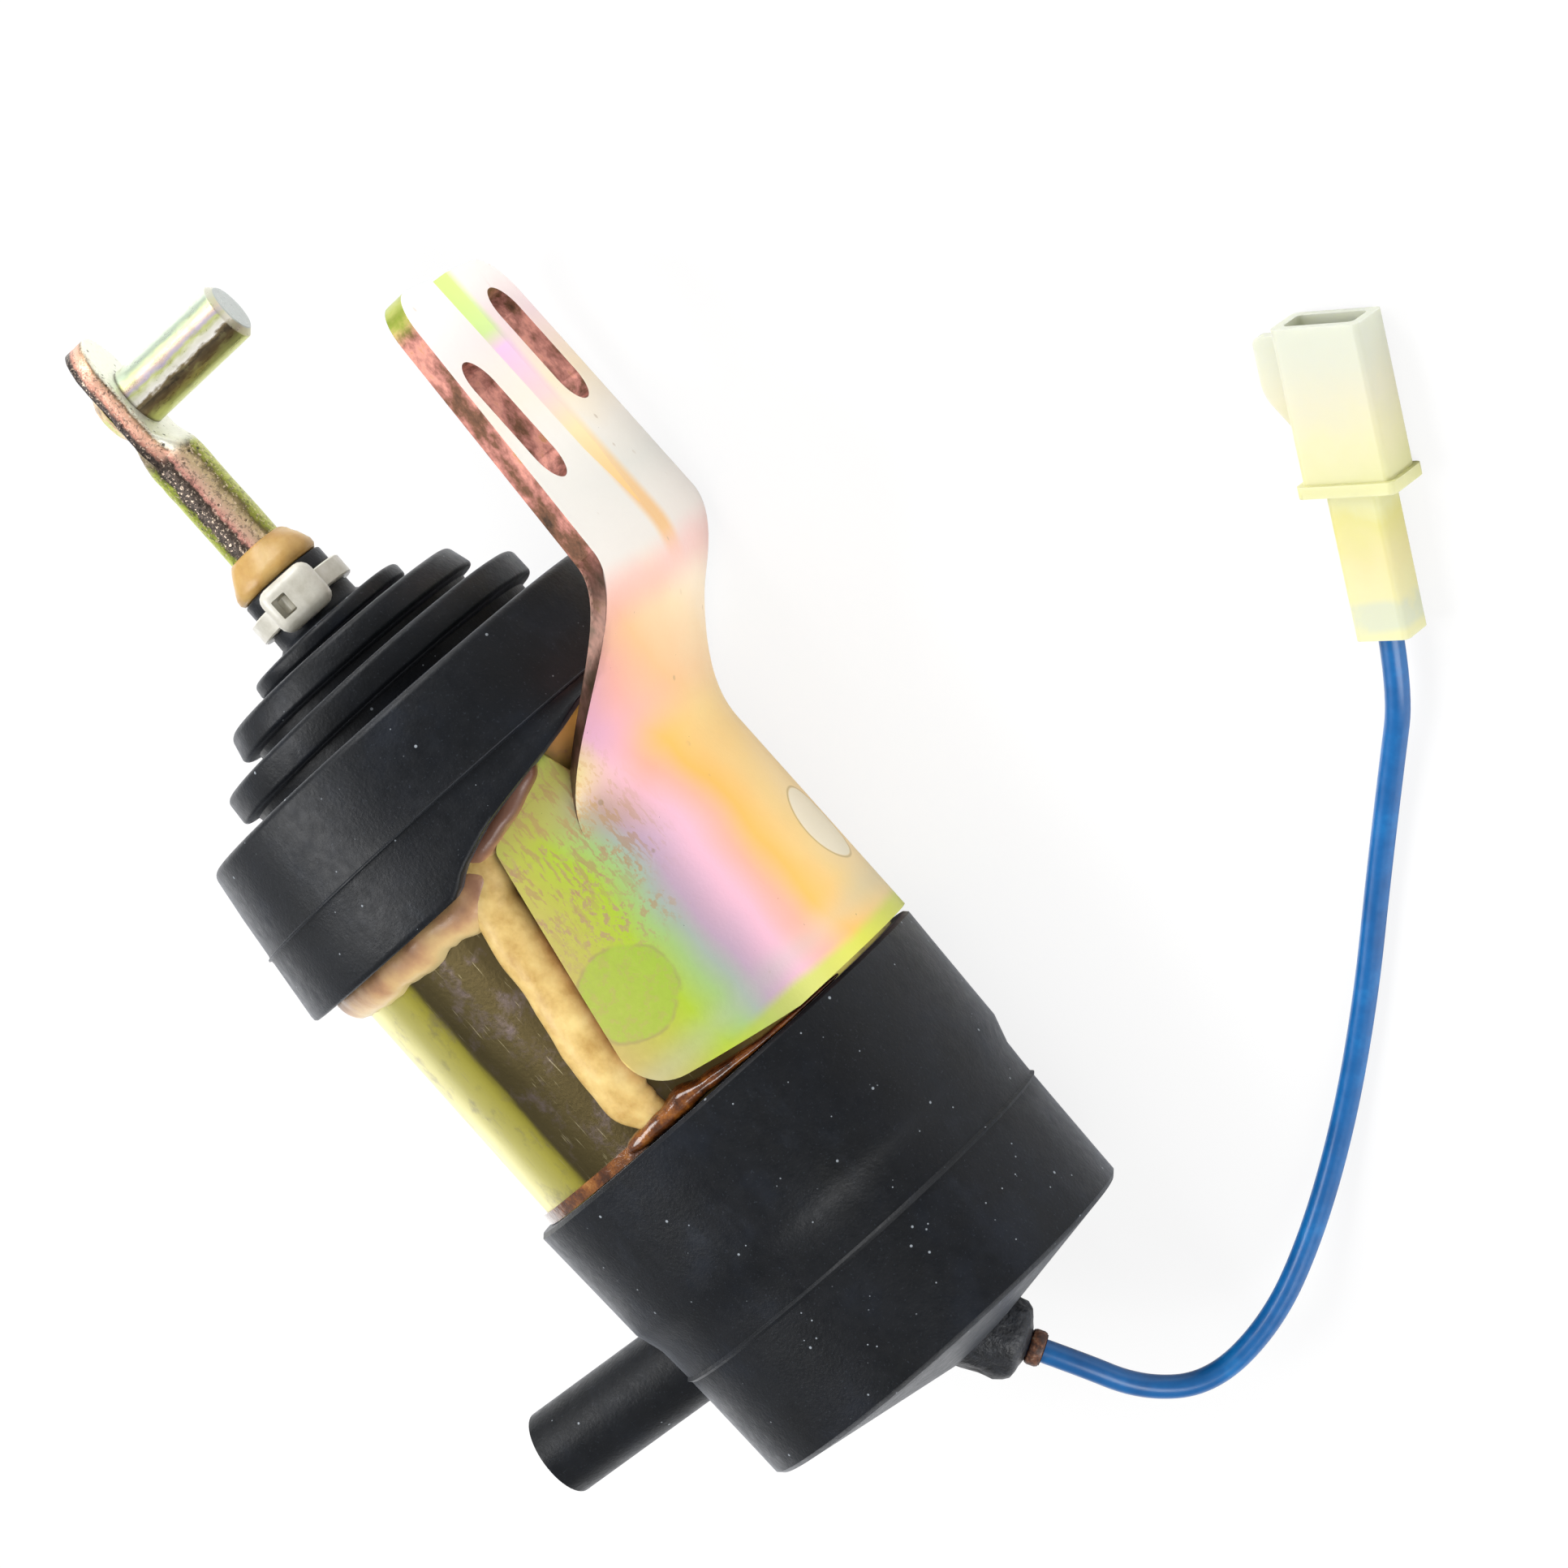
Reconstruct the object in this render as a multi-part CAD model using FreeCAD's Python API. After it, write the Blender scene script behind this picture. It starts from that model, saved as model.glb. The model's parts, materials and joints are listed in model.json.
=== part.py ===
import FreeCAD, Part
import math
import os

from FreeCAD import Rotation, Vector

os.makedirs("parts", exist_ok=True)

# Driving dimensions in millimetres.
# X runs along the solenoid from the rod to the rear cap, and x = 0 is the front face of the can.
# The flat ear of the bracket faces +Y until the finished part is laid down.
fit_gap = 0.05
loose_gap = 0.3

can_radius = 22.9
can_wall = 1.6
can_length = 58.0
crimp_depth = 1.2
crimp_length = 1.4

plate_thickness = 4.5
rear_plate_thickness = 4.0
ring_thickness = 1.2
guide_outer_radius = 9.3
guide_wall = 0.5
bobbin_core_wall = 1.0
bobbin_flange = 1.5
winding_depth = 8.6
wrap_thickness = 0.4
gasket_thickness = 0.8

stroke = 10.0
bumper_thickness = 1.5
core_length = 26.0
pole_nose_length = 3.0
spring_pocket_radius = 4.6
spring_pocket_depth = 9.0
spring_radius = 3.6
spring_wire_radius = 0.45
spring_turns = 6
spring_steps = 12

rod_radius = 3.05
rod_front = -38.4
rod_hold_depth = 14.0
bush_wall = 2.6
bush_flange_radius = 8.0
bush_flange_thickness = 1.2
seal_ring_radius = 0.9

eye_thickness = 2.2
eye_radius = 8.1
eye_centre = -46.1
eye_neck_half = 4.3
shoulder_length = 8.2
eye_angle = -6.0
pin_radius = 3.35
pin_length = 14.0
pin_chamfer = 0.7
rivet_radius = 4.6
rivet_height = 1.3

boot_neck_radius = 4.9
boot_neck_front = -22.6
boot_wall = 1.55
disc1_front = -16.1
disc1_back = -14.3
disc1_radius = 9.6
disc2_front = -13.8
disc2_back = -10.7
disc2_radius = 15.2
disc3_front = -9.3
disc3_back = -6.1
disc3_radius = 19.4
skirt_front = -4.4
skirt_front_radius = 25.5
skirt_lip_radius = 27.6
skirt_lip_inner = 25.2
skirt_lip_x = 13.0
skirt_lip_skew = 2.7
skirt_notch_front = 7.4
skirt_seat = 5.0
mould_line_x = 5.8
mould_line_height = 0.3

tie_x = -19.6
tie_width = 2.5
tie_thickness = 1.1
tie_head_angle = 70.0
tie_head_length = 5.6
tie_head_width = 4.6
tie_head_height = 3.6
tie_window = 2.2

saddle_back = 44.5
saddle_corner_x = 41.0
saddle_slant_top = 18.0
saddle_shoulder = 13.0
saddle_neck_front = 12.0
saddle_edge_front = 7.4
saddle_edge_back = 2.2
saddle_corner = 5.0
sheet = 2.3
neck_back = 19.0
neck_front = -2.0
neck_half_angle = 56.0
neck_overlap = 4.0
neck_sections = 7
ear_face = 34.3
ear_front = -33.7
ear_upper_front = 15.0
ear_upper_back = 20.0
ear_lower = 16.0
ear_corner = 5.0
slot_length = 14.9
slot_width = 6.3
slot_upper_x = -17.1
slot_upper_z = 11.5
slot_lower_x = -22.8
slot_lower_z = -9.3
groove_depth = 1.2
groove_half = 2.4

cap_front = 45.0
cap_radius = 25.0
cap_shoulder = 59.0
cap_shoulder_radius = 24.5
cap_lower_radius = 23.4
cap_step = 3.0
cap_wall = 2.0
cap_edge = 79.3
cap_edge_radius = 23.1
cap_cone_rise = 4.2
cap_mould_line = 66.0
vent_x = 66.6
vent_outer_radius = 4.85
vent_inner_radius = 3.1
vent_reach = 42.3
vent_lean = 4.0

boss_angle = 29.0
boss_roll = 20.0
boss_radius = 4.2
boss_length = 5.6
boss_offset = 1.4
collar_radius = 1.9
collar_length = 1.6
wire_radius = 1.25

sealant_height = 1.5
sealant_width = 3.2
sealant_back = 47.0
sealant_front = 14.4
film_height = 0.5
film_front = 43.6

plug_width = 9.6
plug_depth = 5.4
plug_body_length = 16.8
plug_tail_width = 5.8
plug_tail_depth = 4.5
plug_tail_length = 14.9
plug_wall = 1.0
plug_tail_wall = 0.68
plug_corner = 0.7
plug_lip = 0.5
plug_lip_length = 1.2
wing_span = 3.4
wing_length = 10.5
wing_thickness = 1.4
plug_floor_depth = 12.0
blade_width = 5.0
blade_thickness = 0.8
blade_length = 8.5
neck_width = 2.6
crimp_radius = 1.9
crimp_barrel_length = 7.0
splice_start = 1.0
passage_height = 18.6
coil_lead_radius = 0.9
lead_straight = 3.0
wire_in_plug = 7.0
plug_lead_in = 5.0

# Where the lead and its connector lie on the surface, in the frame of the laid part.
plug_place = Vector(36.5, 83.9, 3.2)
plug_heading = 147.7
lead_route = [
    (79.9, 7.9, 14.0),
    (84.0, 12.2, 9.8),
    (82.8, 20.8, 6.2),
    (78.2, 29.6, 3.2),
    (71.2, 40.4, 1.4),
    (62.7, 52.3, 1.3),
    (54.0, 63.0, 1.3),
    (46.7, 72.6, 1.8),
]

roll_at_rest = 20.0
pitch_at_rest = 3.83
x_axis = Vector(1, 0, 0)
y_axis = Vector(0, 1, 0)
z_axis = Vector(0, 0, 1)
origin = Vector(0, 0, 0)


def turned(points):
    """Solid of revolution about X from (x, radius) points."""
    corners = [Vector(x, r, 0) for x, r in points]
    wire = Part.makePolygon(corners + corners[:1])
    return Part.Face(wire).revolve(origin, x_axis, 360)


def cylinder(radius, x0, x1):
    return Part.makeCylinder(radius, x1 - x0, Vector(x0, 0, 0), x_axis)


def tube(outer, inner, x0, x1):
    return cylinder(outer, x0, x1).cut(cylinder(inner, x0, x1))


def turn_about_x(shape, degrees):
    copy = shape.copy()
    copy.rotate(origin, x_axis, degrees)
    return copy


def rounded_rectangle(width, height, corner):
    """Face in the YZ plane, centred on X."""
    w = width / 2 - corner
    h = height / 2 - corner
    edges = []
    for side_y, side_z, start in ((w, h, 0), (-w, h, 90), (-w, -h, 180), (w, -h, 270)):
        a = math.radians(start)
        b = math.radians(start + 45)
        c = math.radians(start + 90)
        p = [Vector(0, side_y + corner * math.cos(t), side_z + corner * math.sin(t)) for t in (a, b, c)]
        if edges:
            edges.append(Part.LineSegment(edges[-1].EndPoint, p[0]))
        edges.append(Part.Arc(*p))
    edges.append(Part.LineSegment(edges[-1].EndPoint, edges[0].StartPoint))
    return Part.Face(Part.Wire([e.toShape() for e in edges]))


def can():
    """Drawn steel can, open at both ends, with its rear edge rolled in over the rear ring."""
    inner = can_radius - can_wall
    lip = can_length - crimp_length
    return turned([
        (0, inner), (0, can_radius - 0.6), (0.6, can_radius), (can_length - 0.8, can_radius),
        (can_length, can_radius - 0.8), (can_length, inner - crimp_depth), (lip, inner - crimp_depth),
        (lip, inner),
    ])


def front_plate():
    inner = can_radius - can_wall - fit_gap
    hole = rod_radius + bush_wall + fit_gap
    return tube(inner, hole, 0, plate_thickness)


def front_bush():
    """Flanged bearing that the rod runs in."""
    bore = rod_radius + fit_gap
    outer = rod_radius + bush_wall
    return turned([
        (-bush_flange_thickness, bore), (-bush_flange_thickness, bush_flange_radius), (0, bush_flange_radius),
        (0, outer), (plate_thickness, outer), (plate_thickness, bore),
    ])


def bumper_washer():
    return tube(guide_bore() - loose_gap, rod_radius + loose_gap, plate_thickness,
                plate_thickness + bumper_thickness)


def guide_bore():
    return guide_outer_radius - guide_wall


def core_front():
    return plate_thickness + bumper_thickness


def core_back():
    return core_front() + core_length


def pole_front():
    return core_back() + stroke + 0.5


def rear_plate_front():
    return can_length - crimp_length - ring_thickness - rear_plate_thickness


def guide_tube():
    return tube(guide_outer_radius, guide_bore(), plate_thickness, rear_plate_front())


def plunger_core():
    """Steel core with a coned rear end, a blind bore for the rod and a pocket for the spring."""
    radius = guide_bore() - fit_gap
    x0 = core_front()
    x1 = core_back()
    return turned([
        (x0, rod_radius + 0.01), (x0, radius - 0.5), (x0 + 0.5, radius), (x1 - pole_nose_length, radius),
        (x1, radius - pole_nose_length * 0.6), (x1, spring_pocket_radius),
        (x1 - spring_pocket_depth, spring_pocket_radius),
        (x1 - spring_pocket_depth, 0), (x0 + rod_hold_depth, 0), (x0 + rod_hold_depth, rod_radius + 0.01),
    ])


def pole_core():
    """Fixed stop pole whose mouth is the hollow match of the core's cone."""
    radius = guide_bore() - fit_gap
    x0 = pole_front()
    x1 = rear_plate_front() + rear_plate_thickness
    return turned([
        (x0, 0), (x0, radius - pole_nose_length * 0.6), (x0 - pole_nose_length, radius),
        (rear_plate_front(), radius), (rear_plate_front(), spring_pocket_radius), (x1, spring_pocket_radius),
        (x1, 0),
    ])


def rear_plate():
    return tube(can_radius - can_wall - fit_gap, spring_pocket_radius + 0.01, rear_plate_front(),
                rear_plate_front() + rear_plate_thickness)


def rear_ring():
    x0 = rear_plate_front() + rear_plate_thickness
    ring = tube(can_radius - can_wall - fit_gap, can_radius - can_wall - 5.0, x0, x0 + ring_thickness)
    gap = Part.makeBox(ring_thickness, 4.0, 30, Vector(x0, -2.0, 0))
    return ring.cut(gap)


def bobbin():
    """Moulded spool, with a notch in its rear flange where the coil lead comes out."""
    core = guide_outer_radius + fit_gap
    flange = can_radius - can_wall - loose_gap
    x0 = plate_thickness + 0.1
    x1 = rear_plate_front() - gasket_thickness
    spool = turned([
        (x0, core), (x0, flange), (x0 + bobbin_flange, flange), (x0 + bobbin_flange, core + bobbin_core_wall),
        (x1 - bobbin_flange, core + bobbin_core_wall), (x1 - bobbin_flange, flange), (x1, flange), (x1, core),
    ])
    notch = Part.makeBox(bobbin_flange + 1, 3.0, 6.0, Vector(x1 - bobbin_flange - 0.5, -1.5, flange - 4.0))
    return spool.cut(notch)


def winding_inner():
    return guide_outer_radius + fit_gap + bobbin_core_wall + 0.01


def winding():
    x0 = plate_thickness + 0.1 + bobbin_flange + 0.05
    x1 = rear_plate_front() - gasket_thickness - bobbin_flange - 0.05
    return tube(winding_inner() + winding_depth, winding_inner(), x0, x1)


def winding_wrap():
    x0 = plate_thickness + 0.1 + bobbin_flange + 0.05
    x1 = rear_plate_front() - gasket_thickness - bobbin_flange - 0.05
    inner = winding_inner() + winding_depth + 0.01
    return tube(inner + wrap_thickness, inner, x0, x1)


def rear_gasket():
    x1 = rear_plate_front()
    disc = tube(can_radius - can_wall - loose_gap, guide_outer_radius + fit_gap, x1 - gasket_thickness, x1)
    notch = Part.makeBox(2, 3.0, 6.0, Vector(x1 - 1.4, -1.5, can_radius - can_wall - 4.3))
    return disc.cut(notch)


def return_spring():
    """Helical spring from the pocket's floor in the core to the face of the stop pole."""
    x0 = core_back() - spring_pocket_depth + spring_wire_radius + 0.05
    length = pole_front() - x0 - spring_wire_radius - 0.05
    steps = spring_turns * spring_steps
    turn = 2 * math.pi / spring_steps
    path = Part.makePolygon([
        Vector(x0 + length * i / steps, spring_radius * math.cos(i * turn),
               spring_radius * math.sin(i * turn))
        for i in range(steps + 1)
    ])
    section = []
    for i in range(7):
        a = math.pi * i / 3
        section.append(Vector(x0 + spring_wire_radius * math.cos(a),
                              spring_radius + spring_wire_radius * math.sin(a), 0))
    return path.makePipeShell([Part.makePolygon(section)], True, False, 1)


def plunger_rod():
    """Round rod whose front end is forged flat into an eye for the lever pin."""
    back = core_front() + rod_hold_depth - 0.1
    rod = cylinder(rod_radius, rod_front, back)
    neck = Part.makeBox(
        rod_front - eye_centre + 2.5, eye_thickness, 2 * eye_neck_half,
        Vector(eye_centre, -eye_thickness / 2, -eye_neck_half),
    )
    disc = Part.makeCylinder(eye_radius, eye_thickness, Vector(eye_centre, -eye_thickness / 2, 0), y_axis)
    inside = rod_radius * 0.65
    start = rod_front - shoulder_length * 0.4
    end = rod_front + shoulder_length * 0.6
    swell = rod_front + 1.5
    plan = [Vector(start, 0, eye_neck_half), Vector(end, 0, inside), Vector(end, 0, -inside),
            Vector(start, 0, -eye_neck_half)]
    plan_face = Part.Face(Part.makePolygon([v - y_axis * 5 for v in plan + plan[:1]]))
    side = [
        Vector(start, eye_thickness / 2, 0), Vector(swell, rod_radius * 0.9, 0), Vector(end, inside, 0),
        Vector(end, -inside, 0), Vector(swell, -rod_radius * 0.9, 0), Vector(start, -eye_thickness / 2, 0),
    ]
    side_face = Part.Face(Part.makePolygon([v - z_axis * 10 for v in side + side[:1]]))
    shoulder = plan_face.extrude(y_axis * 10).common(side_face.extrude(z_axis * 20))
    eye = disc.fuse([neck, shoulder, rod]).removeSplitter()
    hole = Part.makeCylinder(pin_shank(), 10, Vector(eye_centre, -5, 0), y_axis)
    return turn_about_x(eye.cut(hole), eye_angle)


def pin_shank():
    return pin_radius * 0.7


def lever_pin():
    """Shouldered pin, riveted over on the far side of the eye."""
    face = eye_thickness / 2
    body = Part.makeCylinder(pin_radius, pin_length - pin_chamfer, Vector(eye_centre, face, 0), y_axis)
    tip = Part.makeCone(
        pin_radius, pin_radius - pin_chamfer, pin_chamfer,
        Vector(eye_centre, face + pin_length - pin_chamfer, 0), y_axis,
    )
    shank = Part.makeCylinder(pin_shank() - 0.01, eye_thickness, Vector(eye_centre, -face, 0), y_axis)
    head = Part.makeCone(
        rivet_radius, rivet_radius * 0.55, rivet_height, Vector(eye_centre, -face, 0), Vector(0, -1, 0),
    )
    return turn_about_x(body.fuse([tip, shank, head]).removeSplitter(), eye_angle)


def rod_sealant():
    """Lump of sealant squeezed out between the rod and the mouth of the boot."""
    back = boot_neck_front - 0.1
    lump = turned([
        (back, rod_radius + 0.02), (back, boot_neck_radius + 0.3), (back - 1.4, boot_neck_radius + 0.7),
        (back - 3.0, boot_neck_radius - 0.2), (back - 4.4, rod_radius + 0.5), (back - 4.7, rod_radius + 0.02),
    ])
    return lump


def rod_seal_ring():
    inner = rod_radius + loose_gap
    outer = inner + 2 * seal_ring_radius
    back = -bush_flange_thickness
    front = back - 2 * seal_ring_radius
    chamfer = seal_ring_radius / 2
    return turned([
        (front, inner + chamfer), (front, outer - chamfer), (front + chamfer, outer), (back - chamfer, outer),
        (back, outer - chamfer), (back, inner + chamfer), (back - chamfer, inner), (front + chamfer, inner),
    ])


def skirt_lip_plane():
    """Space in front of the skirt's lip, which sits crooked and is pushed back under the bracket's neck."""
    reach = 40
    skew = reach * math.tan(math.radians(skirt_lip_skew))
    side = [
        Vector(-2 * reach, -reach, -reach), Vector(skirt_lip_x - skew, -reach, -reach),
        Vector(skirt_lip_x + skew, -reach, reach), Vector(-2 * reach, -reach, reach),
    ]
    notch = [
        Vector(reach, 1.5, -reach), Vector(15.0, 1.5, -reach), Vector(12.2, 6.0, -reach), Vector(9.0, 13.0, -reach),
        Vector(skirt_notch_front, 20.0, -reach), Vector(skirt_notch_front, reach, -reach),
        Vector(reach, reach, -reach),
    ]
    front = Part.Face(Part.makePolygon(side + side[:1])).extrude(y_axis * 2 * reach)
    return front.cut(Part.Face(Part.makePolygon(notch + notch[:1])).extrude(z_axis * 2 * reach))


def plunger_boot():
    """Rubber bellows: a clamped neck, three stepped discs with grooves between, and a skirt on the can."""
    bore = rod_radius + loose_gap
    groove = boot_wall + 1.0
    back = skirt_lip_x + 2.0
    slope = (skirt_lip_radius - skirt_front_radius) / (skirt_lip_x - skirt_front)
    mould_radius = skirt_front_radius + slope * (mould_line_x - skirt_front)
    inner_disc2 = disc2_radius - boot_wall - 2.6
    inner_disc3 = disc3_radius - boot_wall - 2.6
    seat = can_radius + fit_gap
    outline = [
        (boot_neck_front, bore), (boot_neck_front, boot_neck_radius), (disc1_front - 0.3, boot_neck_radius),
        (disc1_front, boot_neck_radius + 0.3), (disc1_front, disc1_radius - 0.4),
        (disc1_front + 0.3, disc1_radius - 0.1), (disc1_back, disc1_radius),
        (disc1_back, disc1_radius - groove),
        (disc2_front, disc1_radius - groove), (disc2_front, disc2_radius - 1.3),
        (disc2_back - 0.2, disc2_radius + 0.2), (disc2_back, disc2_radius - 0.1),
        (disc2_back, disc2_radius - groove), (disc3_front, disc2_radius - groove),
        (disc3_front, disc3_radius - 0.5), (disc3_front + 0.4, disc3_radius), (disc3_back, disc3_radius),
        (disc3_back, disc3_radius - groove), (skirt_front, disc3_radius - groove),
        (skirt_front, skirt_front_radius - 0.8), (skirt_front + 0.7, skirt_front_radius),
        (mould_line_x - mould_line_height, mould_radius), (mould_line_x, mould_radius + mould_line_height),
        (mould_line_x + mould_line_height, mould_radius), (back, skirt_lip_radius + 0.05),
        (back, skirt_lip_inner), (skirt_seat, seat), (0, seat), (0, inner_disc3),
        (disc3_back + 1.2, inner_disc3),
        (disc3_front + boot_wall, inner_disc3 - 1.0), (disc3_front + boot_wall, inner_disc2 - 1.0),
        (disc2_front + boot_wall, inner_disc2 - 2.0),
        (disc2_front + boot_wall, disc1_radius - groove - boot_wall),
        (disc1_back + 0.2, disc1_radius - groove - boot_wall), (disc1_back - 0.6, bore),
    ]
    return turned(outline).common(skirt_lip_plane())


def cable_tie():
    """Nylon tie: a flat band round the boot's neck and a square head with the pawl window."""
    inner = boot_neck_radius + 0.05
    outer = inner + tie_thickness
    x0 = tie_x - tie_width / 2
    band = tube(outer, inner, x0, x0 + tie_width)
    head = rounded_rectangle(tie_head_length, tie_head_height, 0.8).extrude(x_axis * tie_head_width)
    head.translate(Vector(tie_x - tie_head_width / 2, 0, inner + tie_head_height / 2))
    head = head.cut(cylinder(inner, x0 - 5, x0 + 9))
    window = Part.makeBox(tie_window, tie_window, 1.4, Vector(tie_x - tie_window / 2, -tie_window / 2,
                                                           inner + tie_head_height - 1.2))
    tail = Part.makeBox(tie_width, 2.4, tie_thickness, Vector(x0, -tie_head_length / 2 - 1.9, inner + 0.9))
    tie = band.fuse([head, tail]).cut(window).removeSplitter()
    return turn_about_x(tie, tie_head_angle - 90)


def extruded_outline(edges, height):
    face = Part.Face(Part.Wire([e.toShape() for e in edges]))
    return face.extrude(height)


def rounded_polygon(points, radii):
    """Closed wire through the points, each corner rounded by its own radius (0 leaves it sharp)."""
    edges = []
    ends = []
    count = len(points)
    for i, corner in enumerate(points):
        before = (points[i - 1] - corner).normalize()
        after = (points[(i + 1) % count] - corner).normalize()
        half = before.getAngle(after) / 2
        back = radii[i] / math.tan(half)
        bisector = (before + after).normalize()
        middle = corner + bisector * (radii[i] / math.sin(half) - radii[i])
        ends.append((corner + before * back, middle, corner + after * back))
    for i, (first, middle, last) in enumerate(ends):
        if radii[i] > 0:
            edges.append(Part.Arc(first, middle, last))
        edges.append(Part.LineSegment(last, ends[(i + 1) % count][0]))
    return edges


def saddle():
    """Part of the bracket bent round the can, with rounded rear corners."""
    inner = can_radius + 0.02
    shell = tube(inner + sheet, inner, saddle_neck_front, saddle_back)
    outline = [
        Vector(saddle_shoulder, saddle_edge_front, 0), Vector(saddle_neck_front, saddle_edge_front + 5, 0),
        Vector(saddle_neck_front, 40, 0), Vector(saddle_back, 40, 0),
        Vector(saddle_back, saddle_slant_top, 0), Vector(saddle_corner_x, saddle_edge_back, 0),
    ]
    edges = rounded_polygon([p - z_axis * 40 for p in outline], [1.5, 1.0, 0, 0, 0, saddle_corner])
    spread = 40 * math.tan(math.radians(neck_half_angle - neck_overlap))
    corners = [Vector(0, 0, 0), Vector(0, 40, spread), Vector(0, 40, -spread)]
    under_neck = Part.Face(Part.makePolygon(corners + corners[:1])).extrude(x_axis * neck_back)
    return shell.common(extruded_outline(edges, z_axis * 80)).cut(under_neck)


def neck_rise(x):
    """Height of the neck's outer face over the axis: a smooth ramp from the saddle to the ear."""
    share = (neck_back - x) / (neck_back - neck_front)
    start = can_radius + 0.02 + sheet
    return start + (ear_face - start) * (1 - math.cos(math.pi * share)) / 2


def neck_section(x):
    """Closed wire across the neck, curved like the can at the saddle and flat at the ear."""
    share = (neck_back - x) / (neck_back - neck_front)
    flat = (1 - math.cos(math.pi * share)) / 2
    outer_radius = can_radius + 0.02 + sheet
    half = math.radians(neck_half_angle)
    run = (ear_face - outer_radius) * math.pi / 2 * math.sin(math.pi * share) / (neck_back - neck_front)
    depth = sheet * math.sqrt(1 + run * run)
    base = neck_rise(x)
    outer = []
    inner = []
    for i in range(5):
        t = (i - 2) / 2
        curved_z = outer_radius * math.sin(half * t)
        curved_sag = outer_radius * (1 - math.cos(half * t))
        flat_z = t * (ear_upper_back if t > 0 else ear_lower)
        z = curved_z * (1 - flat) + flat_z * flat
        y = base - curved_sag * (1 - flat)
        outer.append(Vector(x, y, z))
        lean = half * t * (1 - flat)
        inner.append(Vector(x, y - depth * math.cos(lean), z - depth * math.sin(lean)))
    if flat == 0:
        top = Part.Arc(outer[0], outer[2], outer[-1])
        low = Part.Arc(inner[-1], inner[2], inner[0])
    elif flat == 1:
        top = Part.LineSegment(outer[0], outer[-1])
        low = Part.LineSegment(inner[-1], inner[0])
    else:
        top = Part.BSplineCurve()
        top.interpolate(outer)
        low = Part.BSplineCurve()
        low.interpolate(inner[::-1])
    sides = [Part.LineSegment(outer[-1], inner[-1]), Part.LineSegment(inner[0], outer[0])]
    return Part.Wire([e.toShape() for e in (top, sides[0], low, sides[1])])


def bracket_neck():
    step = (neck_back - neck_front) / (neck_sections - 1)
    wires = [neck_section(neck_back - i * step) for i in range(neck_sections)]
    return Part.makeLoft(wires, True, False)


def slot_cut(x, z):
    """Through slot of the ear, long in X."""
    half = (slot_length - slot_width) / 2
    corner = Vector(x - half, ear_face - sheet - 2, z - slot_width / 2)
    box = Part.makeBox(2 * half, sheet + 4, slot_width, corner)
    ends = [
        Part.makeCylinder(slot_width / 2, sheet + 4, Vector(x + side * half, ear_face - sheet - 2, z), y_axis)
        for side in (-1, 1)
    ]
    return box.fuse(ends)


def groove_wedge(surface_y, half, depth):
    """Long V that runs in from the ear's end and dies out at the neck."""
    def section(x, scale):
        corners = [
            Vector(x, surface_y, half * scale), Vector(x, surface_y - depth * scale, 0),
            Vector(x, surface_y, -half * scale),
        ]
        return Part.makePolygon(corners + corners[:1])
    return Part.makeLoft([section(ear_front - 1, 1.0), section(-11.0, 0.8), section(-3.5, 0.1)], True, True)


def ear():
    """Flat mounting ear with its two slots, tapering towards its rounded end."""
    points = [
        Vector(neck_front, 0, ear_upper_back), Vector(ear_front, 0, ear_upper_front),
        Vector(ear_front, 0, -ear_lower), Vector(neck_front, 0, -ear_lower),
    ]
    base = ear_face - sheet
    edges = rounded_polygon([p + y_axis * base for p in points], [0, ear_corner, ear_corner, 0])
    plate = extruded_outline(edges, y_axis * sheet)
    ridge = groove_wedge(ear_face - sheet, groove_half, groove_depth).common(
        Part.makeBox(60, 10, 20, Vector(ear_front, ear_face - sheet - 5, -10)))
    plate = plate.fuse(ridge).cut(groove_wedge(ear_face + 0.001, groove_half, groove_depth))
    for x, z in ((slot_upper_x, slot_upper_z), (slot_lower_x, slot_lower_z)):
        plate = plate.cut(slot_cut(x, z))
    return plate


def mounting_bracket():
    """One bent sheet: saddle, neck and ear."""
    return saddle().fuse([bracket_neck(), ear()]).removeSplitter().Solids[0]


def bracket_sealant():
    """Bead of sealant laid on the can along the saddle's upper edge, wider at its front end."""
    inner = can_radius + 0.02
    crown = tube(inner + sealant_height, inner, sealant_front, cap_front - 0.1)
    edge_front = saddle_edge_front - 0.3
    edge_back = saddle_edge_back - 0.05
    overlap = edge_back + sealant_width
    points = [
        Vector(sealant_front, edge_front, 0), Vector(sealant_front, edge_front - sealant_width * 1.6, 0),
        Vector(sealant_front + 7, edge_front - sealant_width * 1.2, 0),
        Vector(cap_front - 4, edge_back - sealant_width, 0),
        Vector(cap_front - 0.1, edge_back - sealant_width, 0),
        Vector(cap_front - 0.1, overlap, 0), Vector(saddle_corner_x - 4, overlap, 0),
    ]
    outline = Part.Face(Part.makePolygon(points + points[:1])).extrude(z_axis * 40)
    return crown.common(outline).cut(mounting_bracket())


def rim_adhesive():
    """Thin amber film on the can in front of the cap's rim, clear of the bracket and its sealant."""
    inner = can_radius + 0.02
    film = tube(inner + film_height, inner, film_front, cap_front - 0.1)
    clear = Part.makeBox(10, 60, 80, Vector(film_front - 1, saddle_edge_back - sealant_width - 0.6, -40))
    return film.cut(clear)


def cap_shell():
    """Outer body of the rear cap before its bore and vent are cut."""
    bead = mould_line_height
    return turned([
        (cap_front, 0), (cap_front, cap_radius - 0.4), (cap_front + 0.4, cap_radius),
        (cap_shoulder, cap_shoulder_radius), (cap_shoulder + cap_step, cap_lower_radius + 0.2),
        (cap_mould_line - bead, cap_lower_radius), (cap_mould_line, cap_lower_radius + bead),
        (cap_mould_line + bead, cap_lower_radius), (cap_edge - 0.5, cap_edge_radius),
        (cap_edge, cap_edge_radius - 0.5), (cap_edge + cap_cone_rise, 0),
    ])


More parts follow.
